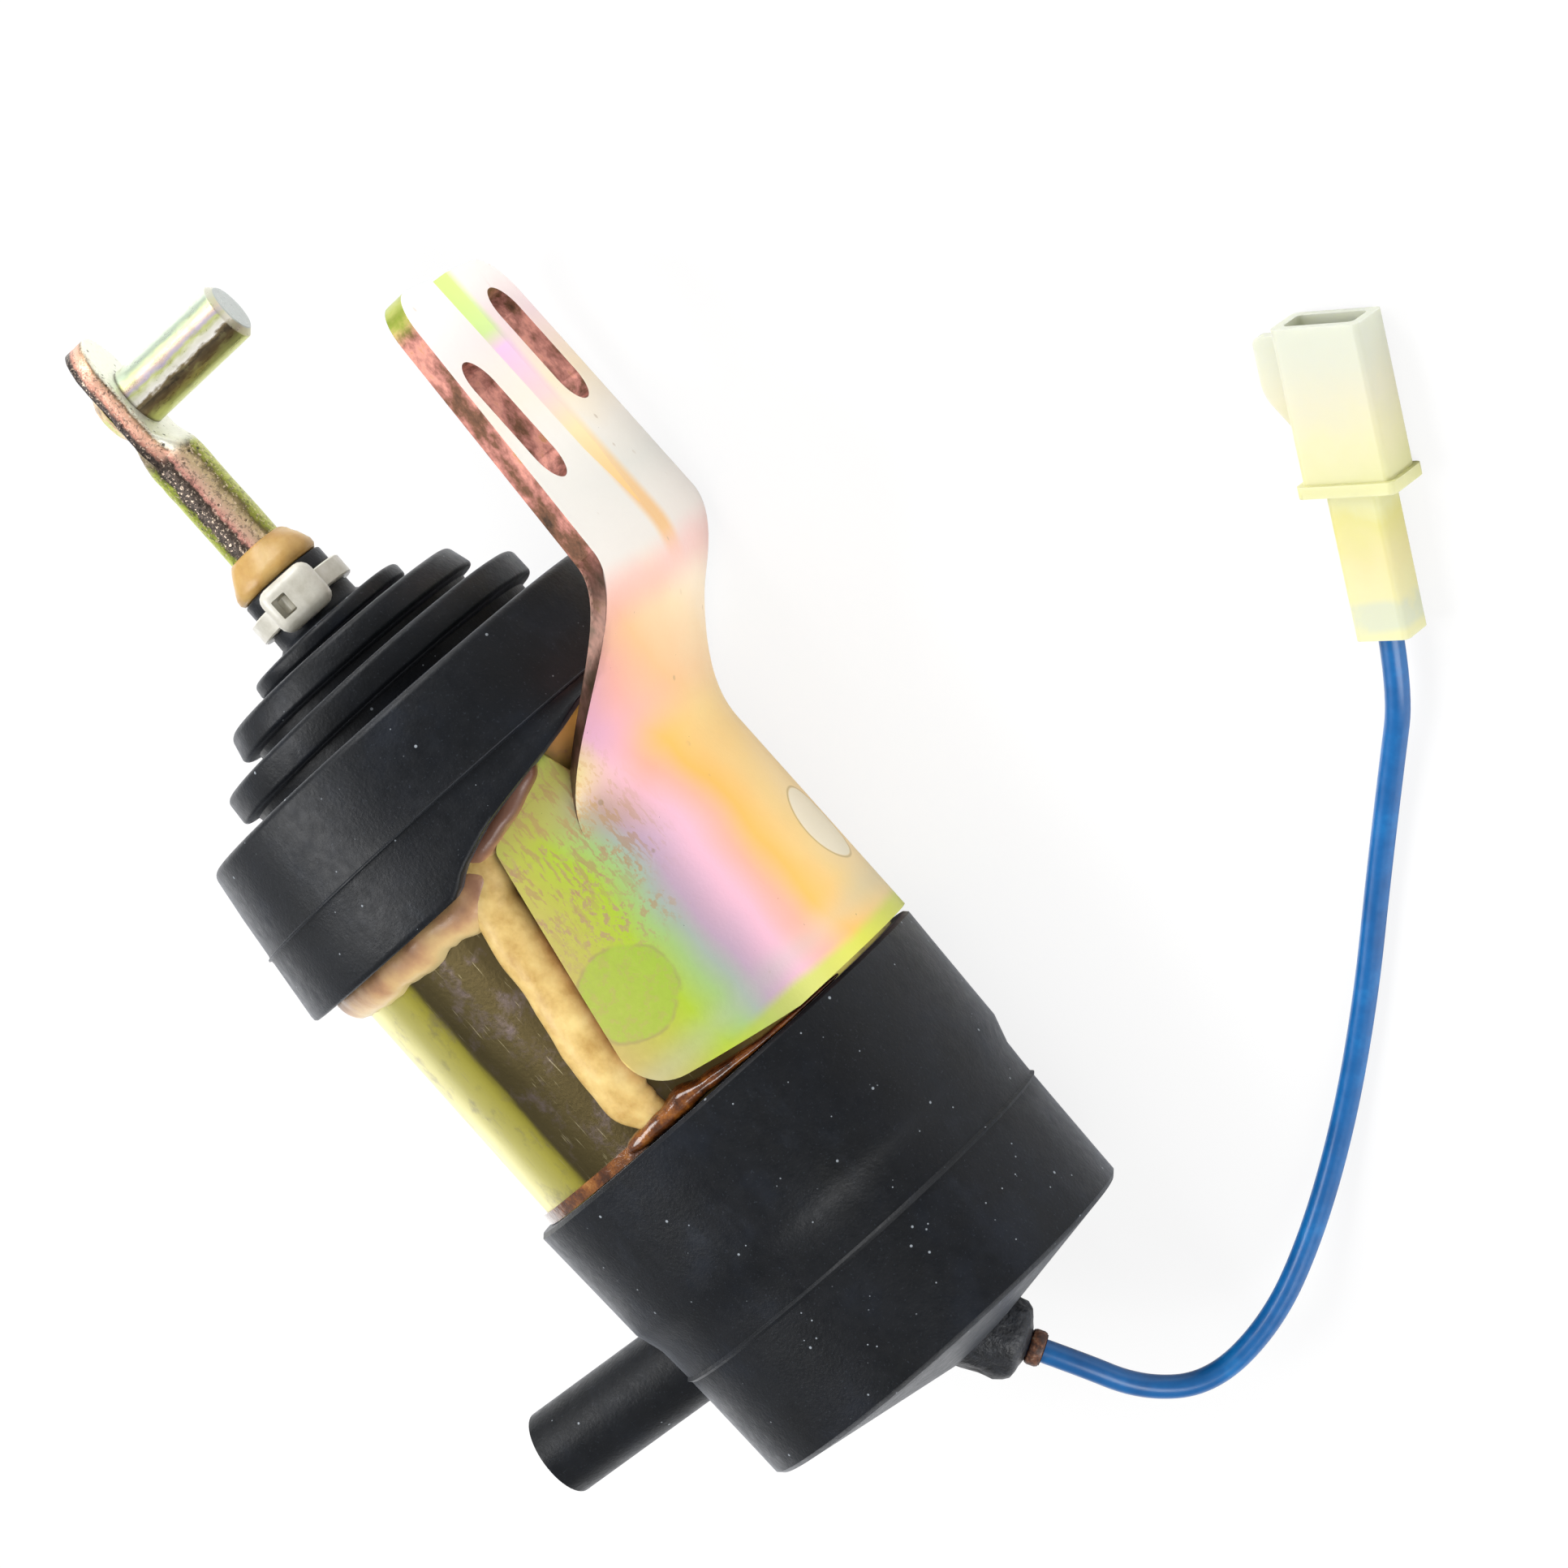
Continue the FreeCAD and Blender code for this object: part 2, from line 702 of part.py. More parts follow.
def cap_hollow():
    seat = can_radius + fit_gap
    narrow = cap_lower_radius - cap_wall
    back = cap_edge - cap_wall
    return turned([
        (cap_front - 1, 0), (cap_front - 1, seat), (can_length + 0.1, seat), (can_length + 0.1, narrow),
        (back, narrow - 0.3), (back + cap_cone_rise - 0.3, 0),
    ])


def vent_axis():
    lean = math.radians(vent_lean)
    return Vector(-math.sin(lean), -math.cos(lean), 0)


def vent_stub(radius, start):
    """Round stub that leaves the cap's wall opposite the bracket."""
    direction = vent_axis()
    length = (vent_reach - start) / abs(direction.y)
    root = Vector(vent_x, 0, 0) + direction * (start / abs(direction.y))
    return Part.makeCylinder(radius, length, root, direction)


def boss_direction():
    """Outward direction of the lead's boss, leaning off the axis towards the bracket's side."""
    lean = math.radians(boss_angle)
    roll = math.radians(boss_roll)
    return Vector(math.cos(lean), math.sin(lean) * math.cos(roll), -math.sin(lean) * math.sin(roll))


def boss_root():
    return Vector(cap_edge + 1.2, boss_offset, 0)


def rear_cap():
    """Rubber cap in one moulding with its vent stub; the lead passes through a hole in its cone."""
    start = cap_lower_radius - 3.0
    body = cap_shell().fuse(vent_stub(vent_outer_radius, start)).cut(cap_hollow())
    body = body.cut(vent_stub(vent_inner_radius, start - 1.0))
    hole = Part.makeCylinder(wire_radius + 0.02, 30, boss_root() - boss_direction() * 10, boss_direction())
    return body.cut(hole).removeSplitter()


def lead_seal():
    """Lump of sealant moulded round the lead where it leaves the cap."""
    direction = boss_direction()
    root = boss_root()
    body = Part.makeCylinder(boss_radius, boss_length, root, direction)
    rim = Part.makeCone(boss_radius, boss_radius - 1.0, 1.2, root + direction * boss_length, direction)
    bore = Part.makeCylinder(wire_radius + 0.02, 40, root - direction * 12, direction)
    return body.fuse(rim).removeSplitter().cut(cap_shell()).cut(bore)


def collar_start():
    return boss_root() + boss_direction() * (boss_length + 1.2)


def lead_collar():
    """Short stained sleeve on the lead at the mouth of the seal."""
    outer = Part.makeCylinder(collar_radius, collar_length, collar_start(), boss_direction())
    root = collar_start() - boss_direction()
    bore = Part.makeCylinder(wire_radius + 0.02, collar_length + 2, root, boss_direction())
    return outer.cut(bore)


def lead_exit():
    return collar_start() + boss_direction() * collar_length


def smooth_route(points, radius):
    """Tube along straight runs joined by the largest tangent arcs that the runs allow."""
    edges = []
    radii = []
    position = points[0]
    for i in range(1, len(points) - 1):
        before = points[i] - points[i - 1]
        after = points[i + 1] - points[i]
        half = before.getAngle(after) / 2
        reach = 0.45 * min(before.Length, after.Length)
        first = points[i] - Vector(before).normalize() * reach
        last = points[i] + Vector(after).normalize() * reach
        bend = reach / math.tan(half)
        inward = (Vector(after).normalize() - Vector(before).normalize()).normalize()
        middle = points[i] + inward * (bend / math.cos(half) - bend)
        edges.append(Part.LineSegment(position, first))
        edges.append(Part.Arc(first, middle, last))
        radii.append(bend)
        position = last
    edges.append(Part.LineSegment(position, points[-1]))
    spine = Part.Wire([e.toShape() for e in edges])
    start = points[1] - points[0]
    circle = Part.Wire(Part.makeCircle(radius, points[0], start))
    swept = spine.makePipeShell([circle], True, False)
    return swept, spine.Length, radii


def inner_end(distance):
    """Point on the lead's line, a distance inside the root of its boss."""
    return boss_root() - boss_direction() * distance


def lead_passage():
    """Notch along the top of the rear parts that lets the coil lead out."""
    return Part.makeBox(20, 3.0, 4.2, Vector(rear_plate_front() - 6, -1.5, passage_height - 2.0))


def coil_lead():
    """Thin lead from the winding through the notch to the splice."""
    start = rear_plate_front() - gasket_thickness - bobbin_flange + 0.1
    points = [
        Vector(start, 0, passage_height), Vector(can_length + 1.0, 0, passage_height),
        Vector(can_length + 6.0, -3.0, passage_height - 7.5),
        inner_end(splice_start + crimp_barrel_length + 5.5),
        inner_end(splice_start + crimp_barrel_length + 0.05),
    ]
    return smooth_route(points, coil_lead_radius)[0]


def lead_splice():
    """Crimped barrel that joins the coil lead to the outer lead."""
    return Part.makeCylinder(
        crimp_radius, crimp_barrel_length, inner_end(splice_start + crimp_barrel_length), boss_direction(),
    )


def plug_box(width, height, x0, x1, corner):
    face = rounded_rectangle(width, height, corner)
    face.translate(Vector(x0, 0, 0))
    return face.extrude(x_axis * (x1 - x0))


def plug_length():
    return plug_tail_length + plug_body_length


def connector_housing():
    """Moulded one-way housing: open mouth, stepped tail for the lead and a fixed D-shaped wing."""
    tail = plug_box(plug_tail_width, plug_tail_depth, 0, plug_tail_length + 1, plug_corner)
    body = plug_box(plug_width, plug_depth, plug_tail_length, plug_length(), plug_corner)
    lip = plug_box(plug_width + 2 * plug_lip, plug_depth + 2 * plug_lip, plug_tail_length,
                   plug_tail_length + plug_lip_length, plug_corner)
    x1 = plug_length() - 1.2
    edge = plug_width / 2 - 0.2
    wing_points = [
        Vector(x1, edge, 0), Vector(x1, edge + wing_span, 0),
        Vector(x1 - wing_length * 0.55, edge + wing_span, 0), Vector(x1 - wing_length, edge, 0),
    ]
    wing_edges = rounded_polygon([p - z_axis * wing_thickness / 2 for p in wing_points], [0, 0.8, 4.0, 0])
    wing = extruded_outline(wing_edges, z_axis * wing_thickness)
    floor = plug_length() - plug_floor_depth
    mouth = plug_box(plug_width - 2 * plug_wall, plug_depth - 2 * plug_wall, floor, plug_length() + 1, 0.6)
    bore = plug_box(plug_tail_width - 2 * plug_tail_wall, plug_tail_depth - 2 * plug_tail_wall,
                    -1, floor + 1, 0.6)
    return tail.fuse([body, lip, wing]).cut(mouth).cut(bore).removeSplitter()


def connector_terminal():
    """Brass terminal: a barrel crimped on the lead, a narrow neck and a flat blade in the mouth."""
    floor = plug_length() - plug_floor_depth
    barrel = tube(wire_radius + 0.31, wire_radius + 0.01, wire_in_plug - 5.0, wire_in_plug)
    cap = cylinder(wire_radius + 0.31, wire_in_plug, wire_in_plug + 1.0)
    neck = Part.makeBox(floor - wire_in_plug, neck_width, blade_thickness,
                        Vector(wire_in_plug + 0.5, -neck_width / 2, -blade_thickness / 2))
    blade = Part.makeBox(blade_length, blade_width, blade_thickness,
                         Vector(floor + 0.3, -blade_width / 2, -blade_thickness / 2))
    tip = floor + 0.3 + blade_length
    tips = [e for e in blade.Edges if abs(e.CenterOfMass.x - tip) < 0.01 and e.Length < 1]
    blade = blade.makeChamfer(0.8, tips)
    return barrel.fuse([cap, neck, blade]).removeSplitter()


def rest_rotation():
    """Turns the part as it lies: the ear rolls down to the surface and the cap's end dips."""
    return Rotation(y_axis, pitch_at_rest).multiply(Rotation(x_axis, -roll_at_rest))


def laid_down(shape, shift):
    copy = shape.copy()
    copy.Placement = FreeCAD.Placement(shift, rest_rotation()).multiply(copy.Placement)
    return copy


def plug_placed(shape):
    """Puts a piece of the connector at the far end of the lead, flat on the surface."""
    copy = shape.copy()
    turn = Rotation(z_axis, plug_heading)
    copy.Placement = FreeCAD.Placement(plug_place, turn).multiply(copy.Placement)
    return copy


def resting_shift(shapes):
    """Moves the laid part so that its box stands on z = 0 with its middle over the origin."""
    box = FreeCAD.BoundBox()
    for shape in shapes:
        box.add(laid_down(shape, origin).optimalBoundingBox())
    return Vector(-(box.XMin + box.XMax) / 2, -(box.YMin + box.YMax) / 2, -box.ZMin)


housing_pieces = {
    "can": can(),
    "front_plate": front_plate(),
    "front_bush": front_bush(),
    "bumper_washer": bumper_washer(),
    "guide_tube": guide_tube(),
    "bobbin": bobbin(),
    "winding": winding(),
    "winding_wrap": winding_wrap(),
    "rear_gasket": rear_gasket(),
    "pole_core": pole_core(),
    "rear_plate": rear_plate().cut(lead_passage()),
    "rear_ring": rear_ring(),
    "return_spring": return_spring(),
    "rod_seal_ring": rod_seal_ring(),
    "plunger_boot": plunger_boot(),
    "mounting_bracket": mounting_bracket(),
    "bracket_sealant": bracket_sealant(),
    "rim_adhesive": rim_adhesive(),
    "rear_cap": rear_cap(),
    "coil_lead": coil_lead(),
    "lead_splice": lead_splice(),
    "lead_seal": lead_seal(),
    "lead_collar": lead_collar(),
}
plunger_pieces = {
    "plunger_core": plunger_core(),
    "plunger_rod": plunger_rod(),
    "lever_pin": lever_pin(),
    "cable_tie": cable_tie(),
    "rod_sealant": rod_sealant(),
}
shift = resting_shift(list(housing_pieces.values()) + list(plunger_pieces.values()))
for name, shape in {**housing_pieces, **plunger_pieces}.items():
    laid_down(shape, shift).exportStep(f"parts/{name}.step")

# The lead, from the splice out through its seal and down to the surface that the part lies on.
lead_start = laid_down(Part.Vertex(inner_end(splice_start)), shift).Point
lead_out = laid_down(Part.Vertex(lead_exit() + boss_direction() * lead_straight), shift).Point
plug_axis = Rotation(z_axis, plug_heading).multVec(x_axis)
lead_points = [lead_start, lead_out] + [Vector(*p) for p in lead_route]
lead_points += [plug_place - plug_axis * plug_lead_in, plug_place + plug_axis * wire_in_plug]
lead, lead_length, lead_radii = smooth_route(lead_points, wire_radius)
lead.exportStep("parts/lead_wire.step")
plug_placed(connector_housing()).exportStep("parts/connector_housing.step")
plug_placed(connector_terminal()).exportStep("parts/connector_terminal.step")

print("shift", shift)
print("slide axis", rest_rotation().multVec(x_axis))
print("lead start", lead_start, "lead out", lead_out)
print("lead volume over section times length", lead.Volume / (math.pi * wire_radius ** 2 * lead_length))
print("lead length", round(lead_length, 1), "bend radii", [round(r, 1) for r in lead_radii])
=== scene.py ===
import json
import math

import bmesh
import bpy
from mathutils import Matrix, Vector, noise

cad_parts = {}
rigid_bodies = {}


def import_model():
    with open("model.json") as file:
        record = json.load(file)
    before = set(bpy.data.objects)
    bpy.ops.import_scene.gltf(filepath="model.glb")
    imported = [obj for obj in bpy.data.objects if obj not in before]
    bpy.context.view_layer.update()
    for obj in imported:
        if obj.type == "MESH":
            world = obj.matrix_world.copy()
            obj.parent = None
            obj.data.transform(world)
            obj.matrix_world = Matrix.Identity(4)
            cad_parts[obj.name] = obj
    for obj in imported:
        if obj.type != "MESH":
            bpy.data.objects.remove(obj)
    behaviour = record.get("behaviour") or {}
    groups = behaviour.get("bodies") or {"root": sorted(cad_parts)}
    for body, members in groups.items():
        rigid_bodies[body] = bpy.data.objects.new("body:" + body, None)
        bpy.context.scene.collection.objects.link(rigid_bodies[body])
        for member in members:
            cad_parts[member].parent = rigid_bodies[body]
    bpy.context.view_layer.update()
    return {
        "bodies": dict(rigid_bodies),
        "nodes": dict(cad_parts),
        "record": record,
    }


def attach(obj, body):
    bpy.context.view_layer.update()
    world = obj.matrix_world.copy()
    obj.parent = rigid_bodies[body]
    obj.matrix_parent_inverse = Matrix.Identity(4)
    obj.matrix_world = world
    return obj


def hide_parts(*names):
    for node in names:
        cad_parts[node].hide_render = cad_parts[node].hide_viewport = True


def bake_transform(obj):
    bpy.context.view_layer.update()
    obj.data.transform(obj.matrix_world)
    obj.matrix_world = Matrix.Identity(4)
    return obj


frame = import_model()
nodes = frame["nodes"]

MM = 0.001
# The solenoid's own frame, in millimetres: x along its axis to the cap, y along the ear's normal.
AXIS_TILT = math.radians(3.83)
EAR_ROLL = math.radians(-20.0)
SHIFT = Vector((-17.156594, 1.183063, 28.386267))
TURN = Matrix.Rotation(AXIS_TILT, 4, "Y") @ Matrix.Rotation(EAR_ROLL, 4, "X")
PLACE = Matrix.Scale(MM, 4) @ Matrix.Translation(SHIFT) @ TURN


def at(x, y, z):
    """A point of the solenoid's own frame, in the row frame and in metres."""
    return PLACE @ Vector((x, y, z))


def along(x, y, z):
    """A direction of the solenoid's own frame, in the row frame."""
    return (TURN.to_3x3() @ Vector((x, y, z))).normalized()


def polar(x, radius, degrees):
    """A point at this station, radius and angle round the axis, where 0 is +y and 90 is +z."""
    a = math.radians(degrees)
    return at(x, radius * math.cos(a), radius * math.sin(a))


def add_object(name, data):
    obj = bpy.data.objects.new(name, data)
    bpy.context.collection.objects.link(obj)
    return obj


# Camera

VIEW_ROLL = math.radians(-40.0)
VIEW_TURN = Matrix.Rotation(AXIS_TILT, 4, "Y") @ Matrix.Rotation(VIEW_ROLL, 4, "X")
CAMERA_PLACE = Vector((27.22, 24.15, 600.0))
CAMERA_RIGHT = Vector((0.6665, 0.7455, 0.0))
LENS, SENSOR = 135.06, 36.0
NEAREST = 0.01


def make_camera():
    """The photo's camera: it looks at the solenoid square to its axis, from above the surface."""
    data = bpy.data.cameras.new("camera")
    data.sensor_width = SENSOR
    data.lens = LENS
    data.clip_start = NEAREST
    camera = add_object("camera", data)
    right = CAMERA_RIGHT.normalized()
    up = Vector((-right.y, right.x, 0.0))
    turn = Matrix.Identity(3)
    for column, axis in enumerate((right, up, Vector((0.0, 0.0, 1.0)))):
        turn.col[column] = axis
    place = (VIEW_TURN @ CAMERA_PLACE + SHIFT) * MM
    camera.matrix_world = Matrix.Translation(place) @ (VIEW_TURN.to_3x3() @ turn).to_4x4()
    bpy.context.scene.camera = camera


make_camera()
bpy.context.scene.view_settings.view_transform = "Standard"


# Shader helpers

def linear(code):
    """A colour written as six hex digits, as the linear colour that the nodes take."""
    values = [int(code[i:i + 2], 16) / 255 for i in (0, 2, 4)]
    return [v / 12.92 if v <= 0.04045 else ((v + 0.055) / 1.055) ** 2.4 for v in values] + [1.0]


def put(tree, socket, value):
    """Links a socket to another one, or sets it to a number, a vector or a colour code."""
    if isinstance(value, bpy.types.NodeSocket):
        tree.links.new(value, socket)
    elif isinstance(value, str):
        socket.default_value = linear(value)
    else:
        socket.default_value = value


def new_node(tree, kind, settings=None, **inputs):
    """A node with its settings and its named inputs; an underscore stands for a space."""
    made = tree.nodes.new(kind)
    for name, value in (settings or {}).items():
        setattr(made, name, value)
    for name, value in inputs.items():
        put(tree, made.inputs[name.replace("_", " ")], value)
    return made


def new_math(tree, operation, *values):
    made = new_node(tree, "ShaderNodeMath", dict(operation=operation))
    for socket, value in zip(made.inputs, values):
        put(tree, socket, value)
    return made.outputs[0]


# Cosine and sine of the 20 degrees between the solenoid's own z and the photo's line of sight.
VIEW_COS = 0.94
VIEW_SIN = 0.342
EYE_ROLL = math.radians(-6.0)


class Shader:
    """A node material: the base shader, and short calls that add the nodes which feed it."""

    def __init__(self, name, **values):
        self.material = bpy.data.materials.new(name)
        self.material.use_nodes = True
        self.tree = self.material.node_tree
        self.base = self.tree.nodes["Principled BSDF"]
        self.set(**values)
        coordinates = self.add("ShaderNodeTexCoord")
        local = self.add("ShaderNodeMapping", dict(vector_type="TEXTURE"),
                         Vector=coordinates.outputs["Object"], Location=SHIFT * MM,
                         Rotation=(EAR_ROLL, AXIS_TILT, 0.0), Scale=(MM, MM, MM))
        self.point = local.outputs[0]
        split = self.add("ShaderNodeSeparateXYZ", Vector=self.point)
        self.x, self.y, self.z = split.outputs

    def set(self, **values):
        """Sets inputs of the base shader."""
        for name, value in values.items():
            put(self.tree, self.base.inputs[name.replace("_", " ")], value)

    def add(self, kind, settings=None, **inputs):
        return new_node(self.tree, kind, settings, **inputs)

    def math(self, operation, *values):
        return new_math(self.tree, operation, *values)

    def plus(self, *values):
        total = values[0]
        for value in values[1:]:
            total = self.math("ADD", total, value)
        return total

    def times(self, a, b):
        return self.math("MULTIPLY", a, b)

    def scaled(self, scale):
        """The local point with each axis times its own factor, for stretched grain."""
        made = self.add("ShaderNodeVectorMath", dict(operation="MULTIPLY"))
        put(self.tree, made.inputs[0], self.point)
        put(self.tree, made.inputs[1], scale)
        return made.outputs[0]

    def dot(self, a, b):
        made = self.add("ShaderNodeVectorMath", dict(operation="DOT_PRODUCT"))
        put(self.tree, made.inputs[0], a)
        put(self.tree, made.inputs[1], b)
        return made.outputs["Value"]

    def length(self, a, b):
        return self.math("SQRT", self.plus(self.times(a, a), self.times(b, b)))

    def across(self):
        """Distance from the axis across the photo's view, in millimetres."""
        return self.math("SUBTRACT", self.times(self.y, VIEW_COS), self.times(self.z, VIEW_SIN))

    def toward(self):
        """Distance from the axis towards the photo's camera."""
        return self.plus(self.times(self.y, VIEW_SIN), self.times(self.z, VIEW_COS))

    def eye_level(self):
        """Distance from the middle of the rod's eye, through its thickness."""
        return self.plus(self.times(self.y, math.cos(EYE_ROLL)),
                         self.times(self.z, math.sin(EYE_ROLL)))

    def noise(self, size, detail=3.0, roughness=0.55, stretch=None):
        """Noise from 0 to 1 with features about this many millimetres across."""
        vector = self.scaled(stretch) if stretch else self.point
        made = self.add("ShaderNodeTexNoise", Vector=vector, Scale=1.0 / size, Detail=detail,
                        Roughness=roughness)
        return made.outputs["Fac"]

    def cells(self, size):
        """Distance to the nearest point of a scatter, as a share of this many millimetres."""
        made = self.add("ShaderNodeTexVoronoi", Vector=self.point, Scale=1.0 / size)
        return made.outputs["Distance"]

    def band(self, value, low, high):
        """0 up to low and 1 from high on, smooth between; the other way where low is above high."""
        up = low < high
        made = self.add("ShaderNodeMapRange", dict(interpolation_type="SMOOTHSTEP"))
        for index, number in ((0, value), (1, min(low, high)), (2, max(low, high)),
                              (3, 0.0 if up else 1.0), (4, 1.0 if up else 0.0)):
            put(self.tree, made.inputs[index], number)
        return made.outputs[0]

    def window(self, value, low, high, soft):
        """1 between low and high, fading to 0 over this much on each side of both."""
        return self.times(self.band(value, low - soft, low + soft),
                          self.band(value, high + soft, high - soft))

    def ramp(self, value, stops):
        """Colour ramp through (place, colour code) stops."""
        made = self.add("ShaderNodeValToRGB", Fac=value)
        elements = made.color_ramp.elements
        while len(elements) < len(stops):
            elements.new(0.5)
        for element, (place, code) in zip(elements, stops):
            element.position = place
            element.color = linear(code)
        return made.outputs["Color"]

    def mix(self, factor, a, b):
        made = self.add("ShaderNodeMix", dict(data_type="RGBA"))
        for index, value in ((0, factor), (6, a), (7, b)):
            put(self.tree, made.inputs[index], value)
        return made.outputs[2]

    def spread(self, value, amount, least):
        return self.plus(self.times(value, amount), least)

    def shaken(self, value, noise, amount):
        """The value moved by noise, this much in all and half of it each way."""
        return self.plus(value, self.times(noise, amount), -amount / 2)

    def tint(self, colour, mask, amount, code):
        """The colour with this much of another one laid over it where the mask is 1."""
        return self.mix(self.times(mask, amount), colour, code)

    def bump(self, height, distance, strength, normal=None):
        """Surface normal that follows a height, with this depth in millimetres."""
        made = self.add("ShaderNodeBump", Height=height, Distance=distance * MM, Strength=strength)
        if normal is not None:
            put(self.tree, made.inputs["Normal"], normal)
        return made.outputs[0]

    def cut_face(self):
        """1 on the faces across the bracket's thickness, which look along its sheet."""
        normal = self.add("ShaderNodeTexCoord").outputs["Normal"]
        up, side = self.dot(normal, along(0, 1, 0)), self.dot(normal, along(0, 0, 1))
        out = self.plus(self.times(up, self.y), self.times(side, self.z))
        radius = self.length(self.y, self.z)
        radial = self.math("ABSOLUTE", self.math("DIVIDE", out, radius))
        flat = self.math("ABSOLUTE", up)
        on_ear = self.band(self.x, 1.0, -3.0)
        facing = self.plus(self.times(flat, on_ear),
                           self.times(radial, self.math("SUBTRACT", 1.0, on_ear)))
        return self.band(facing, 0.64, 0.5)

    def edge(self, radius):
        """About 1 on sharp outer edges, from how far a rounded normal leaves the real one."""
        rounded = self.add("ShaderNodeBevel", dict(samples=4), Radius=radius * MM)
        plain = self.add("ShaderNodeNewGeometry")
        return self.band(self.dot(rounded.outputs[0], plain.outputs["Normal"]), 0.98, 0.75)


def rubber():
    """Blue-black moulded rubber with a faint bloom, small pale specks and worn patches."""
    s = Shader("rubber", Roughness=0.5, Specular_IOR_Level=0.22, Sheen_Weight=0.2,
               Sheen_Roughness=0.35, Sheen_Tint=(0.8, 0.85, 0.95, 1.0))
    colour = s.ramp(s.noise(7.0, 4.0), ((0.25, "07090c"), (0.55, "0c0f14"), (0.8, "141922")))
    colour = s.tint(colour, s.band(s.noise(0.25, 2.0), 0.62, 0.74), 0.16, "4d545e")
    for size, radius, keep in ((2.2, 0.085, 0.5), (1.1, 0.1, 0.58)):
        speck = s.band(s.cells(size), radius, radius * 0.6)
        speck = s.times(speck, s.band(s.noise(size * 2.2, 1.0), keep, keep + 0.06))
        colour = s.tint(colour, speck, 0.75, "9aa1a8")
    wear = s.band(s.noise(5.0, 5.0, 0.7, (0.5, 1.0, 1.0)), 0.56, 0.8)
    colour = s.tint(colour, wear, 0.2, "343a44")
    s.set(Base_Color=colour, Roughness=s.spread(s.noise(1.2, 4.0), 0.35, 0.26))
    fine = s.bump(s.noise(0.35, 3.0), 0.06, 0.6)
    s.set(Normal=s.bump(s.noise(3.0, 3.0), 0.15, 0.4, fine))
    return s.material


def can_plating():
    """Yellow-passivated zinc on drawn steel, stained and scratched; the brown middle between pale
    sides, laid across the view, is painted reflection.
    """
    s = Shader("can_plating", Metallic=0.85, Roughness=0.32)
    grain = s.noise(2.2, 5.0, 0.6, (0.25, 1.0, 1.0))
    # Painted reflection: dark olive-brown in the middle and pale yellow towards both sides, across
    # the view.
    place = s.band(s.plus(s.across(), s.times(grain, 1.2)), -22.0, 22.0)
    colour = s.ramp(place, (
        (0.0, "e9e29c"), (0.012, "e0d878"), (0.026, "cfc658"), (0.04, "a59c3a"),
        (0.048, "4b4226"), (0.16, "463c22"), (0.32, "514529"), (0.6, "665730"), (1.0, "cfc46a")))
    stain = s.band(s.noise(3.4, 5.0, 0.65), 0.5, 0.72)
    colour = s.tint(colour, stain, 0.45, "6f6168")
    scratch = s.band(s.noise(0.3, 2.0, 0.5, (0.08, 1.0, 1.0)), 0.66, 0.74)
    colour = s.tint(colour, scratch, 0.35, "b9ae8a")
    s.set(Base_Color=colour, Roughness=s.spread(grain, 0.25, 0.2))
    s.set(Normal=s.bump(s.noise(0.5, 4.0), 0.03, 0.5))
    return s.material


WELD_X = 32.4


def saddle_tone(s, q, drift):
    """Bands of chromate colour across the saddle, laid across the view, the palest of them a
    painted highlight; with a lime rim beside the cap.
    """
    # Chromate colours from gold through lime, pink and orange; the near-white end is a painted
    # highlight.
    colour = s.ramp(s.band(q, -14.0, 34.0), (
        (0.0, "eec26a"), (0.08, "d9c478"), (0.18, "cfd05e"), (0.28, "c4e046"), (0.36, "b9dc8c"),
        (0.42, "bccabc"), (0.48, "d3b6cc"), (0.6, "f3bccf"), (0.68, "f2b3a0"), (0.76, "f3bd62"),
        (0.86, "f6d795"), (1.0, "fbf1d6")))
    rim = s.plus(s.x, s.times(drift, 3.0))
    colour = s.tint(colour, s.band(rim, 43.2, 44.6), 0.8, "cfe052")
    return s.tint(colour, s.window(rim, 40.5, 42.8, 1.6), 0.35, "c8d0c2")


def ear_tone(s, drift):
    """Near-white ear, with lime, pink and gold along its groove; the near-white towards the neck
    and on one wing is painted highlight, and the gold and orange in the groove are also painted
    shade on its wall.
    """
    # Pale chromate colours along the ear; the near-white stops towards the neck are a painted
    # highlight.
    colour = s.ramp(s.band(s.plus(s.x, s.times(drift, 7.0)), -36.0, 6.0), (
        (0.0, "ebe4de"), (0.25, "efd8da"), (0.5, "f3e3c4"), (0.7, "ece8df"), (0.86, "e4e3dc"),
        (0.95, "eae6df"), (1.0, "e9e4de")))
    # Painted highlight: the wing on one side of the groove made near-white.
    colour = s.tint(colour, s.band(s.z, 0.0, 1.5), 0.6, "ebe9e4")
    groove = s.window(s.plus(s.z, s.times(drift, 0.6)), -3.0, 1.3, 1.3)
    # Chromate colours along the groove, whose gold and orange also stand for painted shade on the
    # groove's wall.
    tones = s.ramp(s.band(s.x, -34.0, -2.0), (
        (0.0, "c6ee4e"), (0.14, "b9e070"), (0.22, "e6b6e2"), (0.5, "f4c6cf"), (0.72, "f8dc9c"),
        (1.0, "f2b64a")))
    return s.tint(colour, groove, 0.75, tones)


